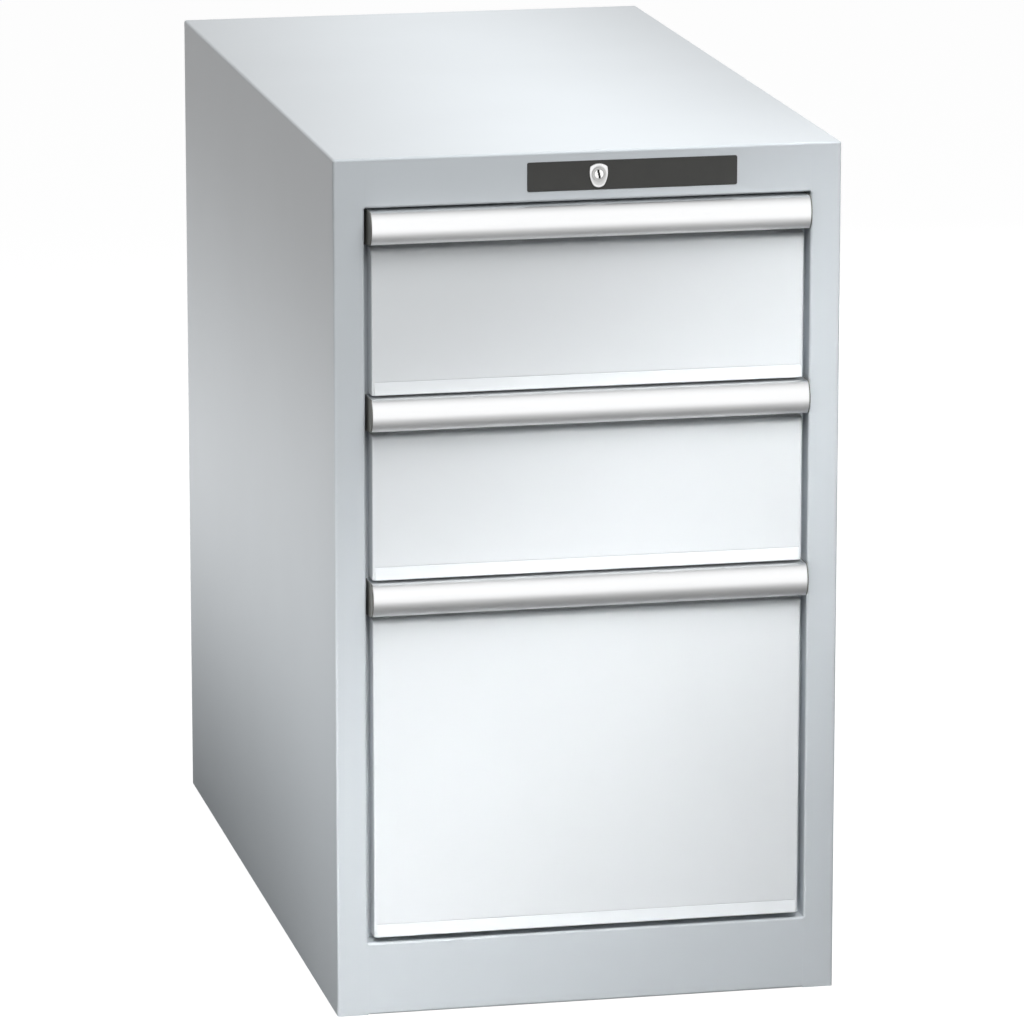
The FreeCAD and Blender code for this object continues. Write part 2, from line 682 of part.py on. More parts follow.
def front_bottom(bottom):
    """Lower edge of a drawer front: only the lowest one leaves a gap, above the plinth."""
    return bottom + (LOWER_FRONT_GAP if bottom == LOWER_BOTTOM else 0.0)


def front_block(inset, low, shoulder, end_depth):
    """The panel's outer form, or the hollow inside it, as a block with rounded front edges."""
    half = FRONT_HALF_WIDTH - inset
    radius = SHOULDER_RADIUS - inset
    slant = radius * (1 - math.sqrt(0.5))
    top = shoulder - inset
    profile = [
        Part.LineSegment(side_point(end_depth, low + inset), side_point(inset, low + inset)),
        Part.LineSegment(side_point(inset, low + inset), side_point(inset, top - radius)),
        Part.Arc(side_point(inset, top - radius), side_point(inset + slant, top - slant),
                 side_point(inset + radius, top)),
        Part.LineSegment(side_point(inset + radius, top), side_point(end_depth, top)),
        Part.LineSegment(side_point(end_depth, top), side_point(end_depth, low + inset)),
    ]
    form = outline_solid(profile, V(2 * half, 0, 0)).translated(V(-half, 0, 0))
    plan = block(-half, half, inset, end_depth, low, shoulder)
    middle_z = (low + shoulder) / 2
    edges = [front_point(-half, middle_z, inset), front_point(half, middle_z, inset)]
    return form.common(round_edges_near(plan, FRONT_EDGE_RADIUS - inset, edges))


def handle_plate(bottom, height):
    """Plate that carries the handle: it closes the pocket and lies against the tray's front wall."""
    plate_bottom = bottom + height - HANDLE_POCKET_HEIGHT - FRONT_FLANGE_WIDTH
    plate_top = bottom + height - HANDLE_TOP_GAP
    return block(-FRONT_HALF_WIDTH, FRONT_HALF_WIDTH, HANDLE_POCKET_DEPTH, PANEL_DEPTH,
                 plate_bottom, plate_top)


def front_panel(bottom, height):
    """Folded front panel with a flared lower lip, set off by a pressed crease.

    Its flanges lie against the tray's front wall.
    """
    low = front_bottom(bottom)
    shoulder = bottom + height - HANDLE_POCKET_HEIGHT
    shell = front_block(0.0, low, shoulder, PANEL_DEPTH)
    hollow = front_block(FRONT_SHEET, low, shoulder, HANDLE_POCKET_DEPTH)
    window_half = FRONT_HALF_WIDTH - FRONT_FLANGE_WIDTH
    window = block(-window_half, window_half, HANDLE_POCKET_DEPTH, PANEL_DEPTH,
                   low + FRONT_FLANGE_WIDTH, shoulder - FRONT_FLANGE_WIDTH)
    shell = shell.cut([hollow, window, handle_plate(bottom, height)])
    half = FRONT_HALF_WIDTH - FRONT_LIP_END_INSET
    lip_top = low + FRONT_LIP_HEIGHT
    round_start = low + FRONT_LIP_ROUNDING
    round_end = FRONT_LIP_ROUNDING - FRONT_LIP_FLARE
    slant = FRONT_LIP_ROUNDING * math.sqrt(0.5)
    inside = FRONT_SHEET / 2
    lip = outline_solid([
        Part.LineSegment(side_point(0, lip_top), side_point(-FRONT_LIP_FLARE, round_start)),
        Part.Arc(side_point(-FRONT_LIP_FLARE, round_start),
                 side_point(round_end - slant, round_start - slant), side_point(round_end, low)),
        Part.LineSegment(side_point(round_end, low), side_point(inside, low)),
        Part.LineSegment(side_point(inside, low), side_point(inside, lip_top)),
        Part.LineSegment(side_point(inside, lip_top), side_point(0, lip_top)),
    ], V(2 * half, 0, 0)).translated(V(-half, 0, 0))
    crease_top = lip_top + FRONT_CREASE_WIDTH
    crease = outline_solid([
        Part.LineSegment(side_point(0, lip_top), side_point(FRONT_CREASE_DEPTH, lip_top)),
        Part.LineSegment(side_point(FRONT_CREASE_DEPTH, lip_top), side_point(0, crease_top)),
        Part.LineSegment(side_point(0, crease_top), side_point(0, lip_top)),
    ], V(2 * half, 0, 0)).translated(V(-half, 0, 0))
    return shell.fuse(lip).cut(crease).removeSplitter()


def drawer_front(bottom, height):
    """The front panel and the handle plate welded to its upper edge."""
    return Part.makeCompound([front_panel(bottom, height), handle_plate(bottom, height)])


def handle_curve():
    """Centre and outer radius of the handle's bowed face, seen from the side."""
    sagitta = HANDLE_PROJECTION - HANDLE_EDGE_REACH
    radius = HANDLE_HEIGHT ** 2 / (8 * sagitta) + sagitta / 2
    return HANDLE_PROJECTION - radius, radius


def reach_on_curve(radius, drop_from_middle):
    """How far the bowed face, or a line parallel to it, reaches at a height off its middle."""
    centre, _ = handle_curve()
    return centre + math.sqrt(radius ** 2 - drop_from_middle ** 2)


def handle_point(reach, z):
    """A point of the handle's section: reach is in front of the housing's front face."""
    return side_point(-reach, z)


def handle_section(top):
    """Outline of the extrusion: back wall, top web and bowed face."""
    middle = top - HANDLE_HEIGHT / 2
    low = top - HANDLE_HEIGHT
    centre, radius = handle_curve()
    inner = radius - HANDLE_WALL
    lip_angle = math.asin(HANDLE_HEIGHT / 2 / radius)
    lip_inner = (centre + inner * math.cos(lip_angle), middle - inner * math.sin(lip_angle))
    web = top - HANDLE_WALL
    web_reach = reach_on_curve(inner, web - middle)
    back = -HANDLE_POCKET_DEPTH
    back_inner = back + HANDLE_BACK_WALL
    back_low = top - HANDLE_BACK_HEIGHT
    face_top = handle_point(HANDLE_EDGE_REACH, top)
    face_low = handle_point(HANDLE_EDGE_REACH, low)
    inner_low = handle_point(*lip_inner)
    inner_top = handle_point(web_reach, web)
    return [
        Part.LineSegment(handle_point(back, top), face_top),
        Part.Arc(face_top, handle_point(HANDLE_PROJECTION, middle), face_low),
        Part.LineSegment(face_low, inner_low),
        Part.Arc(inner_low, handle_point(HANDLE_PROJECTION - HANDLE_WALL, middle), inner_top),
        Part.LineSegment(inner_top, handle_point(back_inner, web)),
        Part.LineSegment(handle_point(back_inner, web), handle_point(back_inner, back_low)),
        Part.LineSegment(handle_point(back_inner, back_low), handle_point(back, back_low)),
        Part.LineSegment(handle_point(back, back_low), handle_point(back, top)),
    ]


def handle(bottom, height):
    """Handle extrusion, as long as the opening less the end gaps and caps."""
    top = bottom + height - HANDLE_TOP_GAP
    length = 2 * HANDLE_HALF_LENGTH
    bar = outline_solid(handle_section(top), V(length, 0, 0))
    bar = bar.translated(V(-HANDLE_HALF_LENGTH, 0, 0))
    corner = handle_point(HANDLE_EDGE_REACH, top)
    return round_edges_near(bar, HANDLE_CORNER_RADIUS, [corner])


def handle_caps(bottom, height):
    """Two end caps that close the extrusion, each with a plug under the top web."""
    top = bottom + height - HANDLE_TOP_GAP
    middle = top - HANDLE_HEIGHT / 2
    low = top - HANDLE_HEIGHT
    back = -HANDLE_POCKET_DEPTH
    _, radius = handle_curve()
    face_top = handle_point(HANDLE_EDGE_REACH, top)
    face_low = handle_point(HANDLE_EDGE_REACH, low)
    back_low = handle_point(back, top - CAP_BACK_HEIGHT)
    plate = outline_solid([
        Part.LineSegment(handle_point(back, top), face_top),
        Part.Arc(face_top, handle_point(HANDLE_PROJECTION, middle), face_low),
        Part.LineSegment(face_low, back_low),
        Part.LineSegment(back_low, handle_point(back, top)),
    ], V(CAP_THICKNESS, 0, 0)).translated(V(HANDLE_HALF_LENGTH, 0, 0))
    corner = V(HANDLE_HALF_LENGTH + CAP_THICKNESS / 2, face_top.y, face_top.z)
    plate = round_edges_near(plate, HANDLE_CORNER_RADIUS, [corner])
    plug_top = top - HANDLE_WALL - CAP_PLUG_CLEARANCE
    plug_reach = reach_on_curve(radius - HANDLE_WALL, plug_top - middle) - CAP_PLUG_CLEARANCE
    plug_back = back + HANDLE_BACK_WALL + CAP_PLUG_CLEARANCE
    plug = block(HANDLE_HALF_LENGTH - CAP_PLUG_LENGTH, HANDLE_HALF_LENGTH, -plug_reach, -plug_back,
                 plug_top - CAP_PLUG_HEIGHT, plug_top)
    return both_sides(plate.fuse(plug).removeSplitter())


def fascia_plate(margin, depth0, depth1):
    """A block with the fascia's outline, grown by the margin."""
    middle_z = HOUSING_HEIGHT - FASCIA_DROP - FASCIA_HEIGHT / 2
    half_width = FASCIA_WIDTH / 2 + margin
    half_height = FASCIA_HEIGHT / 2 + margin
    plate = block(FASCIA_OFFSET_X - half_width, FASCIA_OFFSET_X + half_width, depth0, depth1,
                  middle_z - half_height, middle_z + half_height)
    corners = [edge for edge in plate.Edges if edge.BoundBox.YLength > edge.BoundBox.XLength
               + edge.BoundBox.ZLength]
    return plate.makeFillet(FASCIA_CORNER_RADIUS, corners)


def lock_fascia():
    """Dark plate around the lock, clipped behind the rail's window."""
    plate = fascia_plate(0.0, -FASCIA_PROUD, HOUSING_SHEET)
    flange = fascia_plate(FASCIA_FLANGE, HOUSING_SHEET, HOUSING_SHEET + FASCIA_FLANGE_THICKNESS)
    hole = depth_rod(BARREL_NOSE_DIAMETER / 2 + BARREL_FIT, BARREL_FRONT, BARREL_BODY_START,
                     LOCK_OFFSET_X, LOCK_Z)
    return plate.fuse(flange).removeSplitter().cut(hole)


def lock_escutcheon():
    """Shield shaped ring around the lock's nose."""

    def spot(x, z):
        return front_point(LOCK_OFFSET_X + x, LOCK_Z + z, -FASCIA_PROUD - ESCUTCHEON_THICKNESS)

    right_top = spot(ESCUTCHEON_HALF_WIDTH, ESCUTCHEON_SHOULDER)
    left_top = spot(-ESCUTCHEON_HALF_WIDTH, ESCUTCHEON_SHOULDER)
    right_toe = spot(ESCUTCHEON_TOE_WIDTH, -ESCUTCHEON_TOE_DROP)
    left_toe = spot(-ESCUTCHEON_TOE_WIDTH, -ESCUTCHEON_TOE_DROP)
    shield = outline_solid([
        Part.Arc(left_top, spot(0, ESCUTCHEON_CROWN), right_top),
        Part.Arc(right_top, spot(ESCUTCHEON_WAIST_WIDTH, -ESCUTCHEON_WAIST_DROP), right_toe),
        Part.Arc(right_toe, spot(0, -ESCUTCHEON_FOOT), left_toe),
        Part.Arc(left_toe, spot(-ESCUTCHEON_WAIST_WIDTH, -ESCUTCHEON_WAIST_DROP), left_top),
    ], V(0, ESCUTCHEON_THICKNESS, 0))
    face = FRONT_Y - FASCIA_PROUD - ESCUTCHEON_THICKNESS
    rim = [edge for edge in shield.Edges if edge.BoundBox.YMax < face + SAME_POINT]
    shield = shield.makeFillet(ESCUTCHEON_EDGE_RADIUS, rim)
    hole = depth_rod(BARREL_NOSE_DIAMETER / 2 + BARREL_FIT, BARREL_FRONT, 0, LOCK_OFFSET_X, LOCK_Z)
    return shield.cut(hole)


def lock_barrel():
    """Fixed lock cylinder, its nose in the escutcheon and its body behind the fascia."""
    nose_radius = BARREL_NOSE_DIAMETER / 2
    nose = depth_rod(nose_radius, BARREL_FRONT, BARREL_BODY_START, LOCK_OFFSET_X, LOCK_Z)
    body = depth_rod(BARREL_BODY_DIAMETER / 2, BARREL_BODY_START, BARREL_BACK, LOCK_OFFSET_X, LOCK_Z)
    bore = depth_rod(CORE_DIAMETER / 2 + CORE_FIT, BARREL_FRONT, BARREL_BACK, LOCK_OFFSET_X, LOCK_Z)
    return nose.fuse(body).cut(bore)


def lock_core():
    """Turning core with its stepped keyway in front and the pinion cut on its tail."""
    start = BARREL_FRONT + CORE_RECESS
    core = depth_rod(CORE_DIAMETER / 2, start, PINION_START, LOCK_OFFSET_X, LOCK_Z)
    half = KEYWAY_WIDTH / 2
    third = KEYWAY_LENGTH / 3
    steps = []
    for row, shift in ((1, -KEYWAY_STAGGER), (0, 0.0), (-1, KEYWAY_STAGGER)):
        x = LOCK_OFFSET_X + shift
        z = LOCK_Z + row * third
        steps.append(block(x - half, x + half, start, start + KEYWAY_DEPTH,
                           z - third / 2, z + third / 2))
    return core.cut(steps).fuse(pinion()).removeSplitter()


def involute_point(radius, base_radius):
    """Polar angle by which an involute has turned when it reaches a radius."""
    pressure = math.acos(base_radius / radius)
    return math.tan(pressure) - pressure


def pinion():
    """Toothed wheel behind the barrel, with a gap between teeth pointing down at rest."""
    pressure = math.radians(PRESSURE_ANGLE)
    base_radius = PITCH_RADIUS * math.cos(pressure)
    outer_radius = PITCH_RADIUS + PINION_ADDENDUM
    root_radius = PITCH_RADIUS - PINION_DEDENDUM
    thickness = math.pi * GEAR_MODULE / 2 - TOOTH_BACKLASH
    half_base = thickness / (2 * PITCH_RADIUS) + math.tan(pressure) - pressure
    flank = [(root_radius, half_base)]
    steps = 4
    for step in range(steps + 1):
        radius = base_radius + (outer_radius - base_radius) * step / steps
        flank.append((radius, half_base - involute_point(radius, base_radius)))
    points = []
    for tooth in range(PINION_TEETH):
        middle = -math.pi / 2 + (tooth + 0.5) * 2 * math.pi / PINION_TEETH
        polar = [(radius, middle - half) for radius, half in flank]
        polar += [(radius, middle + half) for radius, half in reversed(flank)]
        for radius, angle in polar:
            points.append(front_point(LOCK_OFFSET_X + radius * math.cos(angle),
                                      LOCK_Z + radius * math.sin(angle), PINION_START))
    return polygon_solid(points, V(0, GEAR_THICKNESS, 0))


def rack_outline():
    """Upper outline of the toothed stretch of the transfer bar, with a tooth below the core."""
    pitch = math.pi * GEAR_MODULE
    slope = math.tan(math.radians(PRESSURE_ANGLE))
    half = (pitch / 2 - TOOTH_BACKLASH) / 2
    tip_half = half - RACK_ADDENDUM * slope
    root_half = half + RACK_DEDENDUM * slope
    left = math.ceil(RACK_END_MARGIN / pitch)
    right = math.ceil((RACK_END_MARGIN + LOCK_STROKE) / pitch)
    outline = []
    for tooth in range(-left, right + 1):
        x = LOCK_OFFSET_X + tooth * pitch
        outline += [
            (x - root_half, TRANSFER_BAR_TOP),
            (x - tip_half, RACK_PITCH_Z + RACK_ADDENDUM),
            (x + tip_half, RACK_PITCH_Z + RACK_ADDENDUM),
            (x + root_half, TRANSFER_BAR_TOP),
        ]
    return outline


def lock_transfer_bar():
    """Flat bar from the pinion to the lock bar: rack at one end, slanted slot at the other."""
    low = TRANSFER_BAR_BOTTOM
    left = LOCK_OFFSET_X - TRANSFER_BAR_LEFT_REACH
    slot_middle = LOCK_BAR_X + LOCK_STROKE / 2
    plate_left = slot_middle - CAM_PLATE_WIDTH / 2
    plate_right = slot_middle + CAM_PLATE_WIDTH / 2
    plate_top = HOUSING_HEIGHT - CAM_PLATE_TOP_DROP
    outline = [(left, low), (left, TRANSFER_BAR_TOP)]
    outline += rack_outline()
    outline += [
        (plate_left, TRANSFER_BAR_TOP),
        (plate_left, plate_top),
        (plate_right, plate_top),
        (plate_right, low),
    ]
    points = [front_point(x, z, TRANSFER_BAR_START) for x, z in outline]
    bar = polygon_solid(points, V(0, TRANSFER_BAR_THICKNESS, 0))
    radius = CAM_PIN_DIAMETER / 2 + CAM_PIN_FIT
    end = TRANSFER_BAR_START + TRANSFER_BAR_THICKNESS
    low_end = (LOCK_BAR_X, CAM_PIN_Z)
    high_end = (LOCK_BAR_X + LOCK_STROKE, CAM_PIN_Z + LOCK_STROKE)
    across = radius * math.sqrt(0.5)
    corners = [
        (low_end[0] - across, low_end[1] + across),
        (high_end[0] - across, high_end[1] + across),
        (high_end[0] + across, high_end[1] - across),
        (low_end[0] + across, low_end[1] - across),
    ]
    slot = polygon_solid([front_point(x, z, TRANSFER_BAR_START) for x, z in corners],
                         V(0, TRANSFER_BAR_THICKNESS, 0))
    ends = [depth_rod(radius, TRANSFER_BAR_START, end, x, z) for x, z in (low_end, high_end)]
    return bar.cut([slot] + ends)


def finger_height(bottom):
    """Underside of the lock finger of one drawer, unlocked: just above the slide's rails."""
    return slide_height(bottom) + RAIL_HALF_HEIGHT + LOCK_FINGER_RAIL_GAP


def lock_bar():
    """Vertical strip with the pin that the slanted slot lifts."""
    start = LOCK_BAR_START
    half = LOCK_BAR_WIDTH / 2
    low = finger_height(LOWER_BOTTOM) - LOCK_BAR_END
    high = CAM_PIN_Z + LOCK_BAR_END
    strip = block(LOCK_BAR_X - half, LOCK_BAR_X + half, start, LOCK_FINGER_START, low, high)
    pin_end = TRANSFER_BAR_START + TRANSFER_BAR_THICKNESS + GEAR_GAP
    pin = depth_rod(CAM_PIN_DIAMETER / 2, start, pin_end, LOCK_BAR_X, CAM_PIN_Z)
    return strip.fuse(pin)


def lock_bar_fingers():
    """Fingers welded to the back of the lock bar, one for each drawer."""
    left = CATCH_TIP - LOCK_FINGER_OVERLAP
    right = LOCK_BAR_X - LOCK_BAR_WIDTH / 2 + LOCK_FINGER_LAP
    end = LOCK_FINGER_START + LOCK_FINGER_THICKNESS
    fingers = []
    for bottom, _ in DRAWERS.values():
        z = finger_height(bottom)
        fingers.append(block(left, right, LOCK_FINGER_START, end, z, z + LOCK_FINGER_HEIGHT))
    return Part.makeCompound(fingers)


def lock_catch(bottom):
    """Angle on the tray's right wall, just behind where the raised lock finger stands."""
    outline = [
        (TRAY_HALF_WIDTH, CATCH_START + CATCH_FOOT_LENGTH),
        (TRAY_HALF_WIDTH, CATCH_START),
        (CATCH_TIP, CATCH_START),
    ]
    rise = V(0, 0, CATCH_HEIGHT)
    catch = folded_sheet(outline, CATCH_SHEET, RAIL_BEND_RADIUS, plan_point, rise)
    return catch.translated(V(0, 0, finger_height(bottom) + LOCK_FINGER_HEIGHT + CATCH_LIFT_GAP))


def lock_bar_guides():
    """Brackets on the right side panel, one for each drawer, that keep the lock bar upright."""
    front = STOP_BACK + GUIDE_CLEARANCE
    back = LOCK_BAR_START + LOCK_BAR_THICKNESS + GUIDE_CLEARANCE
    half = LOCK_BAR_WIDTH / 2 + GUIDE_CLEARANCE
    pieces = []
    for bottom, _ in DRAWERS.values():
        z = slide_height(bottom) + LOCK_GUIDE_RISE
        shelf = block(LOCK_BAR_X - half - GUIDE_SHEET, INNER_WALL, front, back + LOCK_GUIDE_DEPTH,
                      z, z + GUIDE_SHEET)
        notch = block(LOCK_BAR_X - half, LOCK_BAR_X + half, front, back, z, z + GUIDE_SHEET)
        leg = block(INNER_WALL - GUIDE_SHEET, INNER_WALL, front, back + LOCK_GUIDE_DEPTH,
                    z - LOCK_GUIDE_LEG, z + GUIDE_SHEET)
        pieces.append(shelf.cut(notch).fuse(leg).removeSplitter())
    return pieces


def transfer_bar_guides():
    """Two brackets behind the top rail that the transfer bar slides through."""
    top = HOUSING_HEIGHT - GUIDE_TOP_DROP
    step = TRANSFER_BAR_TOP + GUIDE_CLEARANCE
    slot_low = TRANSFER_BAR_BOTTOM - GUIDE_CLEARANCE
    slot_front = TRANSFER_BAR_START - GUIDE_CLEARANCE
    slot_back = TRANSFER_BAR_START + TRANSFER_BAR_THICKNESS + GUIDE_CLEARANCE
    low = slot_low - GUIDE_SHEET
    front = slot_front - TRANSFER_GUIDE_EDGE
    back = slot_back + TRANSFER_GUIDE_EDGE
    web = [
        (HOUSING_SHEET, step),
        (HOUSING_SHEET, top),
        (back, top),
        (back, low),
        (front, low),
        (front, step),
    ]
    pieces = []
    for x in (FASCIA_OFFSET_X - TRANSFER_GUIDE_OFFSET, FASCIA_OFFSET_X + TRANSFER_GUIDE_OFFSET):
        plate = polygon_solid([side_point(depth, z, x) for depth, z in web], V(GUIDE_SHEET, 0, 0))
        slot = block(x, x + GUIDE_SHEET, slot_front, slot_back, slot_low, step)
        foot = block(x, x + TRANSFER_GUIDE_FOOT, HOUSING_SHEET, HOUSING_SHEET + GUIDE_SHEET,
                     step, top)
        pieces.append(plate.cut(slot).fuse(foot).removeSplitter())
    return pieces


def housing_parts():
    right = side_panel()
    return {
        "left_side_panel": mirrored(right),
        "right_side_panel": right,
        "top_panel": top_panel(),
        "bottom_panel": bottom_panel(),
        "back_panel": back_panel(),
        "back_panel_rivets": back_panel_rivets(),
        "top_front_rail": top_front_rail(),
        "plinth_rail": plinth_rail(),
        "rail_uprights": rail_uprights(),
        "cabinet_rails": cabinet_rails(),
    }


def lock_parts():
    return {
        "lock_fascia": lock_fascia(),
        "lock_escutcheon": lock_escutcheon(),
        "lock_barrel": lock_barrel(),
        "lock_core": lock_core(),
        "lock_transfer_bar": lock_transfer_bar(),
        "lock_bar": lock_bar(),
        "lock_bar_fingers": lock_bar_fingers(),
        "lock_guides": Part.makeCompound(lock_bar_guides() + transfer_bar_guides()),
    }


def drawer_parts(name, bottom, height):
    right_carriage = carriage(bottom)
    parts = {
        name + "_drawer_tray": tray(bottom, height),
        name + "_drawer_front": drawer_front(bottom, height),
        name + "_drawer_handle": handle(bottom, height),
        name + "_drawer_handle_caps": handle_caps(bottom, height),
        name + "_drawer_rails": drawer_rails(bottom),
        name + "_drawer_lock_catch": lock_catch(bottom),
        name + "_left_carriage": mirrored(right_carriage),
        name + "_right_carriage": right_carriage,
    }
    for place, setback in ROLLER_SETBACKS.items():
        wheel = roller(bottom, setback)
        parts[name + "_left_" + place + "_roller"] = mirrored(wheel)
        parts[name + "_right_" + place + "_roller"] = wheel
    return parts


def all_parts():
    parts = housing_parts()
    parts.update(lock_parts())
    for name, (bottom, height) in DRAWERS.items():
        parts.update(drawer_parts(name, bottom, height))
    return parts


os.makedirs("parts", exist_ok=True)
for node, shape in all_parts().items():
    shape.exportStep("parts/" + node + ".step")
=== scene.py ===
import functools
import json
import math

import bmesh
import bpy
from mathutils import Matrix, Vector


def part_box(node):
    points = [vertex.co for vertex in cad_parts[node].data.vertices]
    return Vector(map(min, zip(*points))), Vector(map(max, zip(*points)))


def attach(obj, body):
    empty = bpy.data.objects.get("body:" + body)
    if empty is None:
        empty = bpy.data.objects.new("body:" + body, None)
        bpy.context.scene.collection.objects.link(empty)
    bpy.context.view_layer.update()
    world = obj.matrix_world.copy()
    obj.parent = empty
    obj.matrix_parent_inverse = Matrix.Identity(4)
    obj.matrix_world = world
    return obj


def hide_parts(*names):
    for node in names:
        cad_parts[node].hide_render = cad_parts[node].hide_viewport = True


bl_info = {
    "name": "Drawer cabinet finish",
    "version": (1, 0, 0),
    "blender": (4, 5, 0),
    "location": "3D View > Sidebar > Cabinet",
    "description": "Powder coat, anodised handles, slides and lock of a three drawer cabinet",
    "category": "Object",
}

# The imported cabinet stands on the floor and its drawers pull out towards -Y. Lengths are in metres.
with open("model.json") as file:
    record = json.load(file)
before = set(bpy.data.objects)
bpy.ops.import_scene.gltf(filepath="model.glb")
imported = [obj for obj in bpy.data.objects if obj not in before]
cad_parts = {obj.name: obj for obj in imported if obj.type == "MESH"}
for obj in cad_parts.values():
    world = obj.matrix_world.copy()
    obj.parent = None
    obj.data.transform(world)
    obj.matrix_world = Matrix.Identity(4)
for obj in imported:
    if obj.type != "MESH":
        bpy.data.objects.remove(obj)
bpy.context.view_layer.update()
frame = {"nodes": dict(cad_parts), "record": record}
DRAWERS = ("upper", "middle", "lower")

# Most values of a noise texture lie between these, for a roughness and for a colour.
NOISE_LOW, NOISE_HIGH = 0.30, 0.70
SHADE_LOW, SHADE_HIGH = 0.32, 0.68

# Powder coat: its cloudiness, its satin roughness and the thin clear gloss over it.
COAT_CLOUD_SPACING = 0.14
COAT_CLOUD_SPREAD = 0.012
COAT_SPECKLE_SHARE = 0.5
COAT_ROUGHNESS = (0.36, 0.44)
COAT_GLOSS = 0.12
COAT_GLOSS_ROUGHNESS = 0.28
TRAY_GRAIN_SHARE = 1.3
TRAY_RIPPLE_SHARE = 1.2

# Anodised extrusion: lines and a slight blush, both drawn out along X.
DRAWN_STRETCH = (0.012, 1.0, 1.0)
DRAWN_ROUGHNESS = (0.30, 0.38)
DRAWN_DEPTH = 0.000006
DRAWN_SHEEN = 0.4
QUARTER_TURN = 0.25
BLUSH_STRETCH = (0.25, 1.0, 1.0)
BLUSH_SPACING = 0.09
BLUSH_SPREAD = 0.014

# Moulded plastic: its cloudiness, its spark eroded grain and the softness of its edges.
PLASTIC_CLOUD_SPACING = 0.02
PLASTIC_CLOUD_SPREAD = 0.06
PLASTIC_ROUGHNESS_SPREAD = 0.06
PLASTIC_GRAIN_DEPTH = 0.00002
PLASTIC_EDGE = 0.0002

# Plated metal: its fine grain, and how far its roughness falls and rises with the grain.
METAL_GRAIN_SPACING = 0.0008
METAL_GRAIN_DEPTH = 0.000004
METAL_ROUGHNESS_FALL = 0.05
METAL_ROUGHNESS_RISE = 0.07

# Turned nylon: the marks round the axle, which lies along X, and how far light goes into it.
TURNED_STRETCH = (1.0, 0.05, 0.05)
TURNED_SPACING = 0.0005
TURNED_DEPTH = 0.00001
TURNED_EDGE = 0.0002
NYLON_ROUGHNESS = (0.36, 0.50)
NYLON_CLOUD_SPACING = 0.006
NYLON_CLOUD_SPREAD = 0.03
NYLON_GLOW = 0.12
NYLON_GLOW_REACH = (0.002, 0.002, 0.0015)

# Lock: painted shading in rings as (reach, brightness), and how dark the painted shade in the keyway is,
# as (share of its depth, darkness).
CORE_RADIUS = 0.0044
# Painted shade on the lock core: darker in a ring at its rim.
CORE_PAINTED_SHADE = ((0.76, 1.0), (0.84, 0.44), (0.98, 0.50))
# Painted shading of the escutcheon: darker round the barrel, a painted highlight near its rim.
SHIELD_PAINTED_SHADING = ((0.50, 0.62), (0.78, 0.78), (0.90, 1.08))
KEYWAY_REACH = 0.0065
# Painted shade: the keyway's inside turns near black with its depth, where shade falls.
KEYWAY_PAINTED_SHADE = ((0.03, 0.0), (0.14, 1.0), (0.93, 1.0), (0.98, 0.0))

# Handle: how finely its section is drawn, and where the curve of its front top corner starts and ends,
# in shares of the corner's rounding.
FACE_STEPS = 40
CORNER_STEPS = 8
CORNER_START = 1.3
CORNER_END = 0.75
HANDLE_STATIONS = 9
EDGE_SEGMENTS = 3
EDGE_ANGLE = 40

# Studio: the floor, and the lamps as name, property of the power, lengths of the two sides, spread in
# degrees, place, target, and direction of the first side.
FLOOR_DROP = 0.0005
FLOOR_SQUARES = 8
FLOOR_GREY = (0.18, 0.18, 0.18, 1)
AMBIENT_TINT = (0.97, 0.985, 1.0, 1)
WHITE = (1, 1, 1, 1)
FRONT_MIDDLE = (0.0, -0.355, 0.35)
LAMPS = (
    ("high softbox", "high_power", (1.8, 1.2), 150,
     (0.3, -1.75, 2.95), FRONT_MIDDLE, (1, 0, 0)),
    ("low softbox", "low_power", (1.6, 1.2), 150,
     (-0.85, -2.7, 2.2), FRONT_MIDDLE, (1, 0, 0)),
    ("left softbox", "left_power", (0.9, 0.2), 40,
     (-1.20, -2.30, 0.30), (-0.15, -0.355, 0.03), (1, -0.5, 0)),
    ("rear softbox", "rear_power", (1.6, 0.5), 120,
     (2.40, 2.20, 0.42), (0.0, 0.0, 0.35), (1, -1, 0)),
    ("front strip", "front_power", (0.9, 0.12), 22,
     (0.0, -1.27, 1.22), (0.0, -0.355, 0.30), (1, 0, 1)),
    ("side strip", "side_power", (1.3, 0.10), 40,
     (-1.30, 0.05, 0.32), (-0.2055, 0.05, 0.27), (0, 1, 0)),
    ("top strip", "top_power", (1.3, 0.10), 36,
     (0.02, 0.0, 1.70), (0.02, 0.0, 0.70), (0, 1, 0)),
)


def colour_property(name, description, default):
    return bpy.props.FloatVectorProperty(
        name=name, description=description, subtype="COLOR", size=3, min=0, max=1, default=default)


def length_property(name, description, default):
    return bpy.props.FloatProperty(
        name=name, description=description, subtype="DISTANCE", unit="LENGTH", min=0, default=default)


def angle_property(name, description, degrees):
    return bpy.props.FloatProperty(
        name=name, description=description, subtype="ANGLE", default=math.radians(degrees))


def power_property(name, description, default):
    return bpy.props.FloatProperty(
        name=name, description=description, unit="POWER", min=0, default=default)


def brightness_property(name, description, default):
    return bpy.props.FloatProperty(name=name, description=description, min=0, default=default)


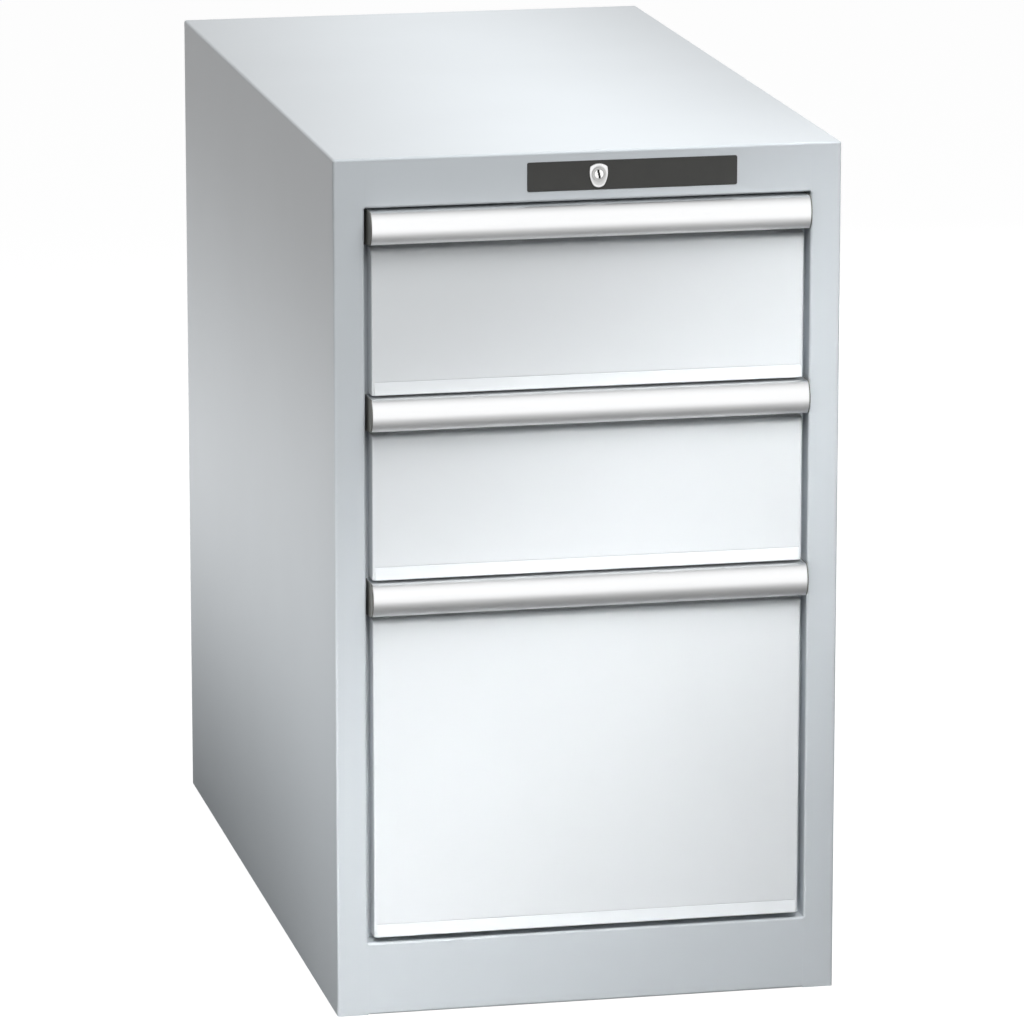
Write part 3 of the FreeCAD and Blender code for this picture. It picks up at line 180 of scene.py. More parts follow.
class CabinetColours(bpy.types.PropertyGroup):
    """Colours of the finishes, as the paint and metal really are, except the keyway's, which is painted
    shade.
    """

    housing: colour_property("Housing", "Powder coat of the housing", (0.60, 0.64, 0.67))
    fronts: colour_property("Fronts", "Powder coat of the drawer fronts", (0.78, 0.81, 0.83))
    trays: colour_property("Trays", "Powder coat of the drawer trays", (0.60, 0.64, 0.67))
    handles: colour_property("Handles", "Anodised aluminium of the handles", (0.92, 0.925, 0.93))
    caps: colour_property("Handle caps", "Moulded plastic of the handle caps", (0.150, 0.150, 0.138))
    fascia: colour_property("Fascia", "Moulded plastic around the lock", (0.033, 0.033, 0.031))
    escutcheon: colour_property("Escutcheon", "Nickel plated shield", (0.80, 0.80, 0.80))
    barrel: colour_property("Barrel", "Nickel plated ring around the lock's core", (0.50, 0.50, 0.49))
    core: colour_property("Core", "Nickel plated face of the lock's core", (0.90, 0.90, 0.89))
    # Painted shade: near-black colour painted inside the keyway, where shade falls.
    keyway: colour_property("Keyway", "Dark inside of the keyway", (0.012, 0.012, 0.012))
    zinc: colour_property("Slides", "Zinc plated slides and lock gear", (0.56, 0.58, 0.61))
    nylon: colour_property("Rollers", "Nylon of the slide rollers", (0.74, 0.73, 0.68))
    rivets: colour_property("Rivets", "Plain aluminium of the rivets", (0.70, 0.71, 0.72))


class CabinetSizes(bpy.types.PropertyGroup):
    """Fine sizes that the finish adds to the solids."""

    coat_grain: length_property("Coat grain", "Spacing of the powder coat's ripples", 0.0016)
    coat_ripple: length_property("Coat ripple", "Height of the powder coat's ripples", 0.000012)
    sheet_edge: length_property("Sheet edge", "Rounding of a painted sheet's cut edge", 0.0003)
    front_edge: length_property("Front edge", "Rounding of the drawer fronts' sharp edges", 0.0004)
    metal_edge: length_property("Metal edge", "Rounding of the plated pieces' edges", 0.0003)
    barrel_edge: length_property("Barrel edge", "Rounding of the lock barrel's edge", 0.0002)
    handle_wall: length_property("Handle wall", "Wall of the handle's face and top", 0.0020)
    handle_back_wall: length_property("Handle back wall", "Wall of the handle's back leg", 0.0015)
    handle_back_height: length_property(
        "Handle back height", "Height of the handle's back leg", 0.0240)
    handle_corner: length_property(
        "Handle corner", "Rounding of the handle's front top corner", 0.0015)
    handle_edge: length_property("Handle edge", "Rounding of the handle's sharp edges", 0.0004)
    handle_edge_reach: length_property(
        "Handle edge reach", "How far the bowed face's edges stand before the housing", 0.0092)
    draw_line: length_property("Draw lines", "Spacing of the lines drawn along an extrusion", 0.0006)


class CabinetStudio(bpy.types.PropertyGroup):
    """Floor, light and camera."""

    floor_size: length_property("Floor", "Side of the floor", 80.0)
    floor_glow: brightness_property(
        "Floor brightness", "Brightness of the floor as the camera sees it", 0.97)
    wall_glow: brightness_property(
        "Wall brightness", "Brightness of the surroundings as the camera sees them", 1.0)
    horizon_mirrored: brightness_property(
        "Mirrored horizon", "Brightness of the walls and far floor in metal", 1.13)
    # Painted shadow: the floor's glow in metal is dimmed near the cabinet, from floor near to floor far.
    floor_shadow_mirrored: brightness_property(
        "Mirrored floor", "Brightness of the nearby floor in metal", 0.0)
    floor_near: length_property("Floor near", "Where the mirrored floor starts to lighten", 0.40)
    floor_far: length_property("Floor far", "Where the mirrored floor is as light as the walls", 2.0)
    ceiling_start: angle_property(
        "Ceiling", "Height over the horizon from which metal mirrors a darker ceiling", 45)
    ceiling_mirrored: brightness_property(
        "Mirrored ceiling", "Brightness of the ceiling in metal", 0.5)
    ambient: brightness_property("Ambient", "Light that comes from all round", 0.03)
    high_power: power_property("High softbox", "Broad lamp high before the front", 39)
    low_power: power_property("Low softbox", "Broad lamp before the front, to its left", 16.5)
    left_power: power_property("Left softbox", "Small lamp low at the left front corner", 1.07)
    front_power: power_property("Front strip", "Slanted strip lamp above the front", 0.42)
    rear_power: power_property("Rear softbox", "Lamp level behind the right back corner", 45)
    side_power: power_property("Side strip", "Level strip lamp at the left", 0.91)
    top_power: power_property("Top strip", "Strip lamp above, along the depth", 0.82)
    camera_place: bpy.props.FloatVectorProperty(
        name="Camera", description="Place of the camera", subtype="XYZ", unit="LENGTH", size=3,
        default=(-1.125, -5.3635, 1.601))
    camera_yaw: angle_property("Yaw", "Turn of the camera to the right", 11.98)
    camera_pitch: angle_property("Pitch", "How far the camera looks down", 13.09)
    camera_lens: bpy.props.FloatProperty(
        name="Lens", description="Focal length in millimetres", default=232.3)


def node_of(tree, kind, sockets=None, **settings):
    """A shader node with some of its settings made, and then some of its input sockets."""
    node = tree.nodes.new(kind)
    for name, value in settings.items():
        setattr(node, name, value)
    for socket, value in (sockets or {}).items():
        node.inputs[socket].default_value = value
    return node


def ramp_of(tree, value, stops):
    """A colour that follows the value, by (position, colour) stops in rising order."""
    ramp = tree.nodes.new("ShaderNodeValToRGB")
    steps = ramp.color_ramp.elements
    steps.remove(steps[-1])
    steps[0].position = stops[0][0]
    for position, _ in stops[1:]:
        steps.new(position)
    for step, (_, colour) in zip(steps, stops):
        step.color = (*colour, 1.0)
    tree.links.new(value, ramp.inputs["Fac"])
    return ramp.outputs["Color"]


def grey_ramp_of(tree, value, stops):
    """A grey that follows the value, by (position, brightness) stops in rising order."""
    return ramp_of(tree, value, [(position, [bright] * 3) for position, bright in stops])


def new_material(name):
    """A material with only its surface shader, the shader's tree and the object's coordinates."""
    material = bpy.data.materials.new(name)
    material.use_nodes = True
    tree = material.node_tree
    tree.nodes.clear()
    output = tree.nodes.new("ShaderNodeOutputMaterial")
    shader = tree.nodes.new("ShaderNodeBsdfPrincipled")
    tree.links.new(shader.outputs["BSDF"], output.inputs["Surface"])
    place = tree.nodes.new("ShaderNodeTexCoord")
    return material, tree, shader, place.outputs["Object"]


def noise_of(tree, vector, spacing, detail=3.0, stretch=None):
    """Noise whose features lie about one spacing apart, drawn out along an axis if asked."""
    if stretch:
        mapping = node_of(tree, "ShaderNodeMapping", {"Scale": stretch})
        tree.links.new(vector, mapping.inputs["Vector"])
        vector = mapping.outputs["Vector"]
    noise = node_of(tree, "ShaderNodeTexNoise", {"Scale": 1.0 / spacing, "Detail": detail})
    tree.links.new(vector, noise.inputs["Vector"])
    return noise.outputs["Fac"]


def ranged(tree, value, low, high):
    """The noise value spread over a range."""
    spread = node_of(tree, "ShaderNodeMapRange", {
        "From Min": NOISE_LOW, "From Max": NOISE_HIGH, "To Min": low, "To Max": high})
    tree.links.new(value, spread.inputs["Value"])
    return spread.outputs["Result"]


def shaded(tree, value, colour, spread):
    """The colour, a little darker and lighter with the noise value."""
    darker = [part * (1.0 - spread) for part in colour]
    lighter = [min(1.0, part * (1.0 + spread)) for part in colour]
    return ramp_of(tree, value, ((SHADE_LOW, darker), (SHADE_HIGH, lighter)))


def raised(tree, shader, value, height, edge=0.0):
    """Relief of the given height on the shader, over edges softened by a small radius."""
    bump = node_of(tree, "ShaderNodeBump", {"Strength": 1.0, "Distance": height})
    tree.links.new(value, bump.inputs["Height"])
    if edge:
        soft = node_of(tree, "ShaderNodeBevel", {"Radius": edge}, samples=4)
        tree.links.new(soft.outputs["Normal"], bump.inputs["Normal"])
    tree.links.new(bump.outputs["Normal"], shader.inputs["Normal"])


def powder_coat(name, colour, grain, ripple, edge):
    """Satin powder coat: fine ripples, a slight cloudiness and a thin clear gloss."""
    material, tree, shader, place = new_material(name)
    cloud = noise_of(tree, place, COAT_CLOUD_SPACING, 4.0)
    tree.links.new(shaded(tree, cloud, colour, COAT_CLOUD_SPREAD), shader.inputs["Base Color"])
    speckle = noise_of(tree, place, grain * COAT_SPECKLE_SHARE, 2.0)
    tree.links.new(ranged(tree, speckle, *COAT_ROUGHNESS), shader.inputs["Roughness"])
    shader.inputs["Specular IOR Level"].default_value = 0.5
    shader.inputs["Coat Weight"].default_value = COAT_GLOSS
    shader.inputs["Coat Roughness"].default_value = COAT_GLOSS_ROUGHNESS
    raised(tree, shader, noise_of(tree, place, grain, 2.0), ripple, edge)
    return material


def anodised(name, colour, spacing):
    """Satin anodised extrusion: faint lines drawn along X, matt silver."""
    material, tree, shader, place = new_material(name)
    lines = noise_of(tree, place, spacing, 4.0, DRAWN_STRETCH)
    blush = noise_of(tree, place, BLUSH_SPACING, stretch=BLUSH_STRETCH)
    tree.links.new(shaded(tree, blush, colour, BLUSH_SPREAD), shader.inputs["Base Color"])
    tree.links.new(ranged(tree, lines, *DRAWN_ROUGHNESS), shader.inputs["Roughness"])
    shader.inputs["Metallic"].default_value = 1.0
    shader.inputs["Anisotropic"].default_value = DRAWN_SHEEN
    shader.inputs["Anisotropic Rotation"].default_value = QUARTER_TURN
    raised(tree, shader, lines, DRAWN_DEPTH)
    return material


def moulded_plastic(name, colour, roughness, grain):
    """Moulded plastic with a spark eroded grain."""
    material, tree, shader, place = new_material(name)
    cloud = noise_of(tree, place, PLASTIC_CLOUD_SPACING)
    tree.links.new(shaded(tree, cloud, colour, PLASTIC_CLOUD_SPREAD), shader.inputs["Base Color"])
    texture = noise_of(tree, place, grain)
    tree.links.new(
        ranged(tree, texture, roughness - PLASTIC_ROUGHNESS_SPREAD, roughness + PLASTIC_ROUGHNESS_SPREAD),
        shader.inputs["Roughness"])
    raised(tree, shader, texture, PLASTIC_GRAIN_DEPTH, PLASTIC_EDGE)
    return material


def plated_metal(name, colour, roughness, spread, spangle, edge):
    """Metal or its plating: slightly clouded, at the spangle's spacing, with a fine grain."""
    material, tree, shader, place = new_material(name)
    cloud = noise_of(tree, place, spangle, 4.0)
    tree.links.new(shaded(tree, cloud, colour, spread), shader.inputs["Base Color"])
    grain = noise_of(tree, place, METAL_GRAIN_SPACING)
    tree.links.new(
        ranged(tree, grain, roughness - METAL_ROUGHNESS_FALL, roughness + METAL_ROUGHNESS_RISE),
        shader.inputs["Roughness"])
    shader.inputs["Metallic"].default_value = 1.0
    raised(tree, shader, grain, METAL_GRAIN_DEPTH, edge)
    return material


def turned_nylon(name, colour):
    """Nylon roller: translucent off white with faint turning marks round the axle."""
    material, tree, shader, place = new_material(name)
    marks = noise_of(tree, place, TURNED_SPACING, stretch=TURNED_STRETCH)
    cloud = noise_of(tree, place, NYLON_CLOUD_SPACING)
    tree.links.new(shaded(tree, cloud, colour, NYLON_CLOUD_SPREAD), shader.inputs["Base Color"])
    tree.links.new(ranged(tree, marks, *NYLON_ROUGHNESS), shader.inputs["Roughness"])
    shader.inputs["Subsurface Weight"].default_value = NYLON_GLOW
    shader.inputs["Subsurface Radius"].default_value = NYLON_GLOW_REACH
    raised(tree, shader, marks, TURNED_DEPTH, TURNED_EDGE)
    return material


def shader_of(material):
    """The shader of a material and the link source of its colour."""
    shader = next(node for node in material.node_tree.nodes if node.type == "BSDF_PRINCIPLED")
    return shader, shader.inputs["Base Color"].links[0].from_socket


def reach_in_front(tree, centre, half_width, half_height):
    """How far a point of the front lies from a centre, 1 on an ellipse round it."""
    place = tree.nodes.new("ShaderNodeTexCoord")
    offset = node_of(tree, "ShaderNodeVectorMath", {1: centre}, operation="SUBTRACT")
    tree.links.new(place.outputs["Object"], offset.inputs[0])
    scaled = node_of(tree, "ShaderNodeVectorMath", {1: (1.0 / half_width, 0.0, 1.0 / half_height)},
                     operation="MULTIPLY")
    tree.links.new(offset.outputs[0], scaled.inputs[0])
    reach = node_of(tree, "ShaderNodeVectorMath", operation="LENGTH")
    tree.links.new(scaled.outputs[0], reach.inputs[0])
    return reach.outputs["Value"]


def paint_ring_shading(material, node, half_width, half_height, stops):
    """Paint shade and highlight into a metal's colour in rings round the middle of a node's front, by
    (reach, brightness) stops.
    """
    tree = material.node_tree
    shader, plating = shader_of(material)
    low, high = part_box(node)
    reach = reach_in_front(tree, (low + high) / 2, half_width, half_height)
    painted_rings = node_of(tree, "ShaderNodeMix", {"Factor": 1.0}, data_type="RGBA", blend_type="MULTIPLY")
    tree.links.new(plating, painted_rings.inputs["A"])
    tree.links.new(grey_ramp_of(tree, reach, stops), painted_rings.inputs["B"])
    tree.links.new(painted_rings.outputs["Result"], shader.inputs["Base Color"])


def finish_nodes(material, names):
    """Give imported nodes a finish. Their shape stays as it is."""
    for name in names:
        node = frame["nodes"][name]
        node.data.materials.clear()
        node.data.materials.append(material)


def slot_nodes(slot):
    """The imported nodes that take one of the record's finishes."""
    return [part["node"] for part in frame["record"]["subparts"] if part["material_slot"] == slot]


def piece_from_mesh(name, mesh_maker, material, body, node):
    """A finished piece, made by filling a mesh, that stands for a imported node."""
    mesh = bpy.data.meshes.new(name)
    work = bmesh.new()
    mesh_maker(work)
    bmesh.ops.recalc_face_normals(work, faces=work.faces)
    work.to_mesh(mesh)
    work.free()
    mesh.materials.append(material)
    piece = bpy.data.objects.new(name, mesh)
    bpy.context.scene.collection.objects.link(piece)
    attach(piece, body)
    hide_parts(node)
    return piece


def soften(piece, width):
    """Round the piece's sharp edges and shade it smoothly."""
    for face in piece.data.polygons:
        face.use_smooth = True
    rounding = piece.modifiers.new("rounded edges", "BEVEL")
    rounding.width = width
    rounding.segments = EDGE_SEGMENTS
    rounding.limit_method = "ANGLE"
    rounding.angle_limit = math.radians(EDGE_ANGLE)
    rounding.harden_normals = True
    rounding.miter_outer = "MITER_ARC"


def extrude_outline(work, outline, x0, x1, stations):
    """Fill a closed outline of (y, z) points between two x, with a few stations along it."""
    rings = []
    for station in range(stations):
        x = x0 + (x1 - x0) * station / (stations - 1)
        rings.append([work.verts.new((x, y, z)) for y, z in outline])
    for ring, following in zip(rings, rings[1:]):
        for index in range(len(ring)):
            after = (index + 1) % len(ring)
            work.faces.new((ring[index], ring[after], following[after], following[index]))
    work.faces.new(rings[0])
    work.faces.new(list(reversed(rings[-1])))


def arc_points(centre, radius, start, end, steps):
    """Points on an arc round a (y, z) centre, both ends included."""
    points = []
    for step in range(steps + 1):
        angle = start + (end - start) * step / steps
        points.append((centre[0] + radius * math.cos(angle), centre[1] + radius * math.sin(angle)))
    return points


def between(first, second, share):
    """The (y, z) point that lies a share of the way from the first to the second."""
    return tuple(one + (other - one) * share for one, other in zip(first, second))


def corner_points(start, tip, end, steps):
    """Points on a curve that leaves the start towards the tip and turns to the end, without both."""
    points = []
    for step in range(1, steps):
        share = step / steps
        points.append(between(between(start, tip, share), between(tip, end, share), share))
    return points


def bow_of(front, edge, top, low):
    """Centre and radius of a bowed face that reaches the front halfway between top and low."""
    sagitta = edge - front
    height = top - low
    radius = height ** 2 / (8 * sagitta) + sagitta / 2
    return (front + radius, (top + low) / 2), radius


def housing_face():
    """The y of the housing's front face."""
    low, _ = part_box("left_side_panel")
    return low.y


def handle_outline(low, high, sizes):
    """Section of the handle: back leg, top web and bowed face, open below."""
    edge = housing_face() - sizes.handle_edge_reach
    centre, radius = bow_of(low.y, edge, high.z, low.z)
    half_angle = math.asin((high.z - low.z) / 2 / radius)
    corner = sizes.handle_corner
    face = arc_points(centre, radius, math.pi - half_angle, math.pi + half_angle, FACE_STEPS)
    face = [point for point in face if point[1] < high.z - corner * CORNER_END]
    start = (edge + corner * CORNER_START, high.z)
    rounding = corner_points(start, (edge, high.z), face[0], CORNER_STEPS)
    inner_radius = radius - sizes.handle_wall
    web = high.z - sizes.handle_wall
    web_angle = math.pi - math.asin((web - centre[1]) / inner_radius)
    inner = arc_points(centre, inner_radius, math.pi + half_angle, web_angle, FACE_STEPS)
    leg = high.y - sizes.handle_back_wall
    foot = high.z - sizes.handle_back_height
    return ([start] + rounding + face + inner
            + [(leg, web), (leg, foot), (high.y, foot), (high.y, high.z)])


class CABINET_OT_stage(bpy.types.Operator):
    """Floor, soft light from all round, softboxes, strip lamps and the camera"""

    bl_idname = "cabinet.stage"
    bl_label = "Stage"

    def execute(self, context):
        studio = context.scene.cabinet_studio
        self.floor(context, studio)
        self.surroundings(context, studio)
        for name, power, size, spread, place, target, along in LAMPS:
            self.lamp(context, name, getattr(studio, power), size, spread, place, target, along)
        self.camera(context, studio)
        context.scene.view_settings.view_transform = "Standard"
        return {"FINISHED"}

    def glow_for_rays(self, tree, strength, seen, mirrored):
        """Set a glow's strength: as the camera and rays through glass see it, and as metal does."""
        path = tree.nodes.new("ShaderNodeLightPath")
        direct = node_of(tree, "ShaderNodeMath", operation="MAXIMUM")
        tree.links.new(path.outputs["Is Camera Ray"], direct.inputs[0])
        tree.links.new(path.outputs["Is Transmission Ray"], direct.inputs[1])
        shown = node_of(tree, "ShaderNodeMath", {1: seen}, operation="MULTIPLY")
        tree.links.new(direct.outputs[0], shown.inputs[0])
        reflected = node_of(tree, "ShaderNodeMath", operation="MULTIPLY")
        tree.links.new(path.outputs["Is Glossy Ray"], reflected.inputs[0])
        tree.links.new(mirrored, reflected.inputs[1])
        total = node_of(tree, "ShaderNodeMath", operation="MAXIMUM")
        tree.links.new(shown.outputs[0], total.inputs[0])
        tree.links.new(reflected.outputs[0], total.inputs[1])
        tree.links.new(total.outputs[0], strength)

    def both(self, tree, first, second, output):
        """Add two shaders into the output."""
        added = tree.nodes.new("ShaderNodeAddShader")
        tree.links.new(first.outputs[0], added.inputs[0])
        tree.links.new(second.outputs[0], added.inputs[1])
        tree.links.new(added.outputs[0], output.inputs["Surface"])

    def floor(self, context, studio):
        """A matt floor that glows white for the camera; in metal its glow is a painted shadow, dark near
        the cabinet and lightening away from it.
        """
        mesh = bpy.data.meshes.new("floor")
        work = bmesh.new()
        bmesh.ops.create_grid(work, x_segments=FLOOR_SQUARES, y_segments=FLOOR_SQUARES,
                              size=studio.floor_size / 2)
        work.to_mesh(mesh)
        work.free()
        floor = bpy.data.objects.new("floor", mesh)
        floor.location.z = -FLOOR_DROP
        context.scene.collection.objects.link(floor)
        material = bpy.data.materials.new("studio floor")
        material.use_nodes = True
        tree = material.node_tree
        tree.nodes.clear()
        output = tree.nodes.new("ShaderNodeOutputMaterial")
        matt = node_of(tree, "ShaderNodeBsdfDiffuse", {"Color": FLOOR_GREY})
        glow = tree.nodes.new("ShaderNodeEmission")
        place = tree.nodes.new("ShaderNodeNewGeometry")
        distance = node_of(tree, "ShaderNodeVectorMath", operation="LENGTH")
        tree.links.new(place.outputs["Position"], distance.inputs[0])
        # Painted shadow in metal: the floor's mirrored glow is dark near the cabinet.
        mirrored = node_of(tree, "ShaderNodeMapRange", {
            "From Min": studio.floor_near, "From Max": studio.floor_far,
            "To Min": studio.floor_shadow_mirrored, "To Max": studio.horizon_mirrored,
        }, interpolation_type="SMOOTHSTEP")
        tree.links.new(distance.outputs["Value"], mirrored.inputs["Value"])
        self.glow_for_rays(tree, glow.inputs["Strength"], studio.floor_glow,
                           mirrored.outputs["Result"])
        self.both(tree, matt, glow, output)
        mesh.materials.append(material)

    def surroundings(self, context, studio):
        """White walls for the camera and a darker ceiling in metal, with a little soft light."""
        world = bpy.data.worlds.new("studio surroundings")
        world.use_nodes = True
        tree = world.node_tree
        tree.nodes.clear()
        output = tree.nodes.new("ShaderNodeOutputWorld")
        light = node_of(tree, "ShaderNodeBackground", {"Color": AMBIENT_TINT})
        shown = node_of(tree, "ShaderNodeBackground", {"Color": WHITE})
        direction = tree.nodes.new("ShaderNodeTexCoord")
        parts = tree.nodes.new("ShaderNodeSeparateXYZ")
        tree.links.new(direction.outputs["Generated"], parts.inputs[0])
        ceiling = node_of(tree, "ShaderNodeMapRange", {
            "From Min": math.sin(studio.ceiling_start), "From Max": 1.0,
            "To Min": studio.horizon_mirrored, "To Max": studio.ceiling_mirrored,
        }, interpolation_type="SMOOTHSTEP")
        tree.links.new(parts.outputs["Z"], ceiling.inputs["Value"])
        self.glow_for_rays(tree, shown.inputs["Strength"], studio.wall_glow,
                           ceiling.outputs["Result"])
        path = tree.nodes.new("ShaderNodeLightPath")
        unseen = node_of(tree, "ShaderNodeMath", {1: studio.ambient}, operation="MULTIPLY")
        tree.links.new(path.outputs["Is Diffuse Ray"], unseen.inputs[0])
        tree.links.new(unseen.outputs[0], light.inputs["Strength"])
        self.both(tree, light, shown, output)
        context.scene.world = world

    def lamp(self, context, name, power, size, spread, place, target, along):
        """A softbox or strip lamp aimed at a point, its first side along the given direction."""
        light = bpy.data.lights.new(name, "AREA")
        light.shape = "RECTANGLE"
        light.size, light.size_y = size
        light.energy = power
        light.spread = math.radians(spread)
        aim = (Vector(target) - Vector(place)).normalized()
        side = (Vector(along) - Vector(along).dot(aim) * aim).normalized()
        turn = Matrix((side, -aim.cross(side), -aim)).transposed()
        holder = bpy.data.objects.new(name, light)
        holder.matrix_world = Matrix.Translation(place) @ turn.to_4x4()
        holder.visible_camera = False
        holder.visible_glossy = False
        context.scene.collection.objects.link(holder)

    def camera(self, context, studio):
        """The camera, turned to the right and looking down on the cabinet."""
        lens = bpy.data.cameras.new("camera")
        lens.sensor_width = 36.0
        lens.lens = studio.camera_lens
        lens.clip_start = 0.1
        lens.clip_end = 200.0
        holder = bpy.data.objects.new("camera", lens)
        holder.location = studio.camera_place
        level = math.cos(studio.camera_pitch)
        aim = Vector((math.sin(studio.camera_yaw) * level, math.cos(studio.camera_yaw) * level,
                      -math.sin(studio.camera_pitch)))
        holder.rotation_euler = aim.to_track_quat("-Z", "Y").to_euler()
        context.scene.collection.objects.link(holder)
        context.scene.camera = holder


class CABINET_OT_housing(bpy.types.Operator):
    """Powder coat on the folded sheets of the housing, and the rivets of its back"""

    bl_idname = "cabinet.housing"
    bl_label = "Housing"

    def execute(self, context):
        colours = context.scene.cabinet_colours
        sizes = context.scene.cabinet_sizes
        coat = powder_coat("housing powder coat", colours.housing, sizes.coat_grain,
                           sizes.coat_ripple, sizes.sheet_edge)
        finish_nodes(coat, slot_nodes("housing_paint"))
        rivet = plated_metal("rivet aluminium", colours.rivets, roughness=0.42, spread=0.04,
                             spangle=0.003, edge=sizes.metal_edge)
        finish_nodes(rivet, slot_nodes("rivet_aluminium"))
        return {"FINISHED"}


class CABINET_OT_fronts(bpy.types.Operator):
    """Powder coated drawer fronts with softened sheet edges"""

    bl_idname = "cabinet.fronts"
    bl_label = "Drawer fronts"

    def execute(self, context):
        colours = context.scene.cabinet_colours
        sizes = context.scene.cabinet_sizes
        coat = powder_coat("front powder coat", colours.fronts, sizes.coat_grain,
                           sizes.coat_ripple, sizes.front_edge)
        finish_nodes(coat, slot_nodes("front_paint"))
        return {"FINISHED"}


class CABINET_OT_handles(bpy.types.Operator):
    """Full width aluminium extrusions with a bowed face"""

    bl_idname = "cabinet.handles"
    bl_label = "Handles"

    def execute(self, context):
        colours = context.scene.cabinet_colours
        sizes = context.scene.cabinet_sizes
        satin = anodised("anodised handle", colours.handles, sizes.draw_line)
        for drawer in DRAWERS:
            node = drawer + "_drawer_handle"
            low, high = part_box(node)
            fill = functools.partial(extrude_outline, outline=handle_outline(low, high, sizes),
                                     x0=low.x, x1=high.x, stations=HANDLE_STATIONS)
            piece = piece_from_mesh(drawer + "_handle_extrusion", fill, satin, drawer + "_drawer",
                                    node)
            soften(piece, sizes.handle_edge)
        return {"FINISHED"}


class CABINET_OT_handle_caps(bpy.types.Operator):
    """Dark end caps of the handles"""

    bl_idname = "cabinet.handle_caps"
    bl_label = "Handle caps"

    def execute(self, context):
        colours = context.scene.cabinet_colours
        plastic = moulded_plastic("cap plastic", colours.caps, roughness=0.48, grain=0.0006)
        finish_nodes(plastic, slot_nodes("cap_plastic"))
        return {"FINISHED"}


class CABINET_OT_trays(bpy.types.Operator):
    """Powder coat on the slotted drawer trays"""

    bl_idname = "cabinet.trays"
    bl_label = "Drawer trays"

    def execute(self, context):
        colours = context.scene.cabinet_colours
        sizes = context.scene.cabinet_sizes
        coat = powder_coat("tray powder coat", colours.trays, sizes.coat_grain * TRAY_GRAIN_SHARE,
                           sizes.coat_ripple * TRAY_RIPPLE_SHARE, sizes.sheet_edge)
        finish_nodes(coat, slot_nodes("tray_paint"))
        return {"FINISHED"}


class CABINET_OT_slides(bpy.types.Operator):
    """Zinc plated rails, carriages and lock gear, and the nylon rollers"""

    bl_idname = "cabinet.slides"
    bl_label = "Slides"

    def execute(self, context):
        colours = context.scene.cabinet_colours
        sizes = context.scene.cabinet_sizes
        zinc = plated_metal("zinc plated steel", colours.zinc, roughness=0.34, spread=0.07,
                            spangle=0.012, edge=sizes.metal_edge)
        finish_nodes(zinc, slot_nodes("slide_steel"))
        finish_nodes(turned_nylon("turned nylon", colours.nylon), slot_nodes("roller_nylon"))
        return {"FINISHED"}


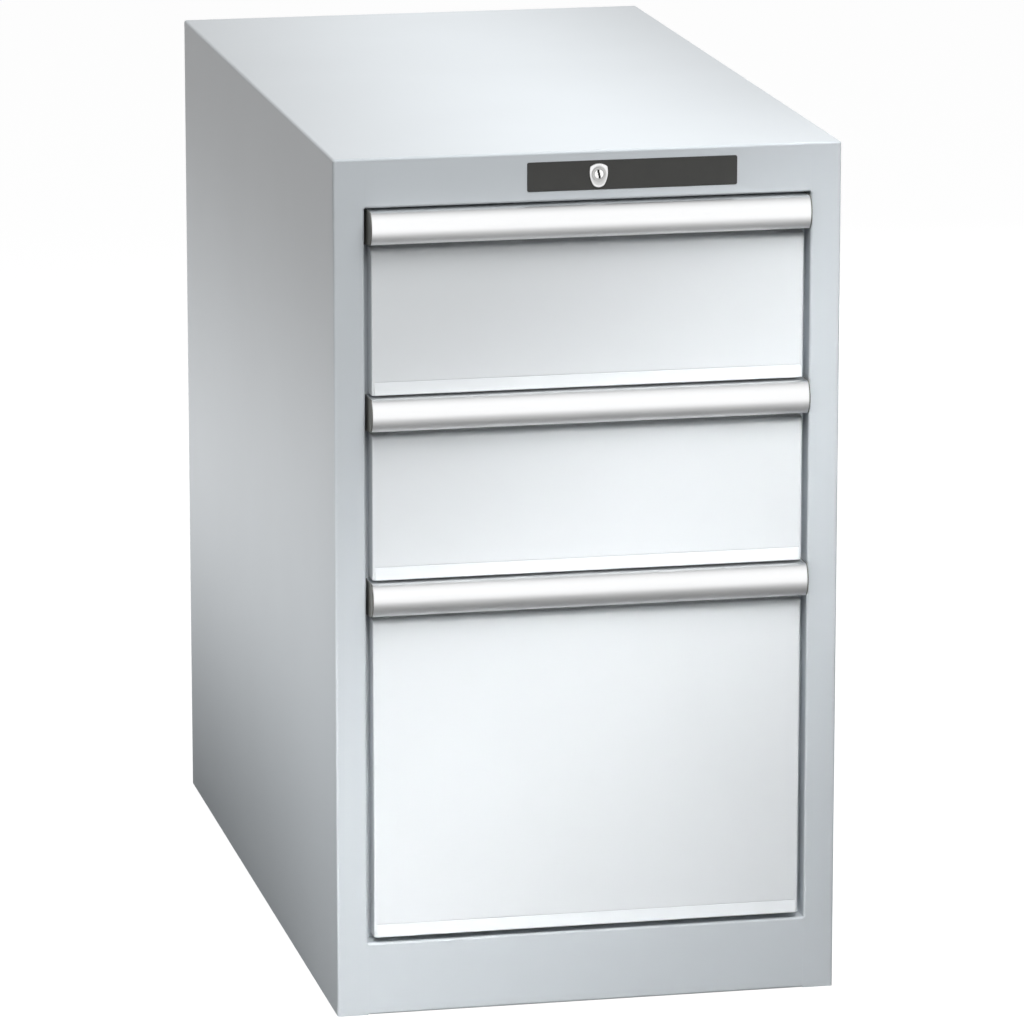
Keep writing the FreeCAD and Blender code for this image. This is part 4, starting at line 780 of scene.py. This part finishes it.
class CABINET_OT_lock(bpy.types.Operator):
    """Dark fascia, nickel plated shield with painted ring shading, barrel and a core with painted shade
    at its rim and in its keyway
    """

    bl_idname = "cabinet.lock"
    bl_label = "Lock"

    def shield_finish(self, colours, sizes):
        """Nickel plating with painted shade in a ring round the barrel, lightening to a painted highlight
        towards its rim.
        """
        material = plated_metal("escutcheon nickel", colours.escutcheon, roughness=0.30, spread=0.02,
                                spangle=0.004, edge=sizes.metal_edge)
        low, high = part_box("lock_escutcheon")
        paint_ring_shading(material, "lock_escutcheon", (high.x - low.x) / 2, (high.z - low.z) / 2, SHIELD_PAINTED_SHADING)
        return material

    def core_finish(self, colours):
        """Nickel plating with painted shade at its rim, that turns to a painted near-black shade with the
        depth of the keyway.
        """
        material = plated_metal("core nickel", colours.core, roughness=0.24, spread=0.02,
                                spangle=0.004, edge=0.0)
        paint_ring_shading(material, "lock_core", CORE_RADIUS, CORE_RADIUS, CORE_PAINTED_SHADE)
        tree = material.node_tree
        shader, plating = shader_of(material)
        place = tree.nodes.new("ShaderNodeTexCoord")
        parts = tree.nodes.new("ShaderNodeSeparateXYZ")
        tree.links.new(place.outputs["Object"], parts.inputs[0])
        low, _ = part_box("lock_core")
        # Painted shade: the colour darkens to near black deeper in the keyway.
        depth = node_of(tree, "ShaderNodeMapRange", {
            "From Min": low.y, "From Max": low.y + KEYWAY_REACH})
        tree.links.new(parts.outputs["Y"], depth.inputs["Value"])
        darkness = grey_ramp_of(tree, depth.outputs["Result"], KEYWAY_PAINTED_SHADE)
        blend = node_of(tree, "ShaderNodeMix", {"B": (*colours.keyway, 1.0)}, data_type="RGBA")
        tree.links.new(darkness, blend.inputs["Factor"])
        tree.links.new(plating, blend.inputs["A"])
        tree.links.new(blend.outputs["Result"], shader.inputs["Base Color"])
        return material

    def execute(self, context):
        colours = context.scene.cabinet_colours
        sizes = context.scene.cabinet_sizes
        plastic = moulded_plastic("fascia plastic", colours.fascia, roughness=0.55, grain=0.0005)
        finish_nodes(plastic, slot_nodes("fascia_plastic"))
        finish_nodes(self.shield_finish(colours, sizes), slot_nodes("escutcheon_metal"))
        barrel = plated_metal("barrel nickel", colours.barrel, roughness=0.34, spread=0.03,
                              spangle=0.004, edge=sizes.barrel_edge)
        finish_nodes(barrel, slot_nodes("lock_metal"))
        finish_nodes(self.core_finish(colours), ["lock_core"])
        return {"FINISHED"}


class CABINET_PT_finish(bpy.types.Panel):
    """Pieces and finishes of the cabinet"""

    bl_idname = "CABINET_PT_finish"
    bl_label = "Cabinet"
    bl_space_type = "VIEW_3D"
    bl_region_type = "UI"
    bl_category = "Cabinet"

    def draw(self, context):
        for operator in OPERATORS:
            self.layout.operator(operator.bl_idname)
        for group in (context.scene.cabinet_colours, context.scene.cabinet_sizes,
                      context.scene.cabinet_studio):
            box = self.layout.box()
            for name in group.bl_rna.properties.keys():
                if name not in ("rna_type", "name"):
                    box.prop(group, name)


OPERATORS = (
    CABINET_OT_stage,
    CABINET_OT_housing,
    CABINET_OT_fronts,
    CABINET_OT_handles,
    CABINET_OT_handle_caps,
    CABINET_OT_trays,
    CABINET_OT_slides,
    CABINET_OT_lock,
)
GROUPS = {
    "cabinet_colours": CabinetColours,
    "cabinet_sizes": CabinetSizes,
    "cabinet_studio": CabinetStudio,
}


def register():
    for group in GROUPS.values():
        bpy.utils.register_class(group)
    for operator in OPERATORS:
        bpy.utils.register_class(operator)
    bpy.utils.register_class(CABINET_PT_finish)
    for name, group in GROUPS.items():
        setattr(bpy.types.Scene, name, bpy.props.PointerProperty(type=group))


def unregister():
    for name in GROUPS:
        delattr(bpy.types.Scene, name)
    bpy.utils.unregister_class(CABINET_PT_finish)
    for operator in reversed(OPERATORS):
        bpy.utils.unregister_class(operator)
    for group in reversed(list(GROUPS.values())):
        bpy.utils.unregister_class(group)


def main():
    register()
    bpy.ops.cabinet.stage()
    bpy.ops.cabinet.housing()
    bpy.ops.cabinet.fronts()
    bpy.ops.cabinet.handles()
    bpy.ops.cabinet.handle_caps()
    bpy.ops.cabinet.trays()
    bpy.ops.cabinet.slides()
    bpy.ops.cabinet.lock()


if __name__ == "__main__":
    main()
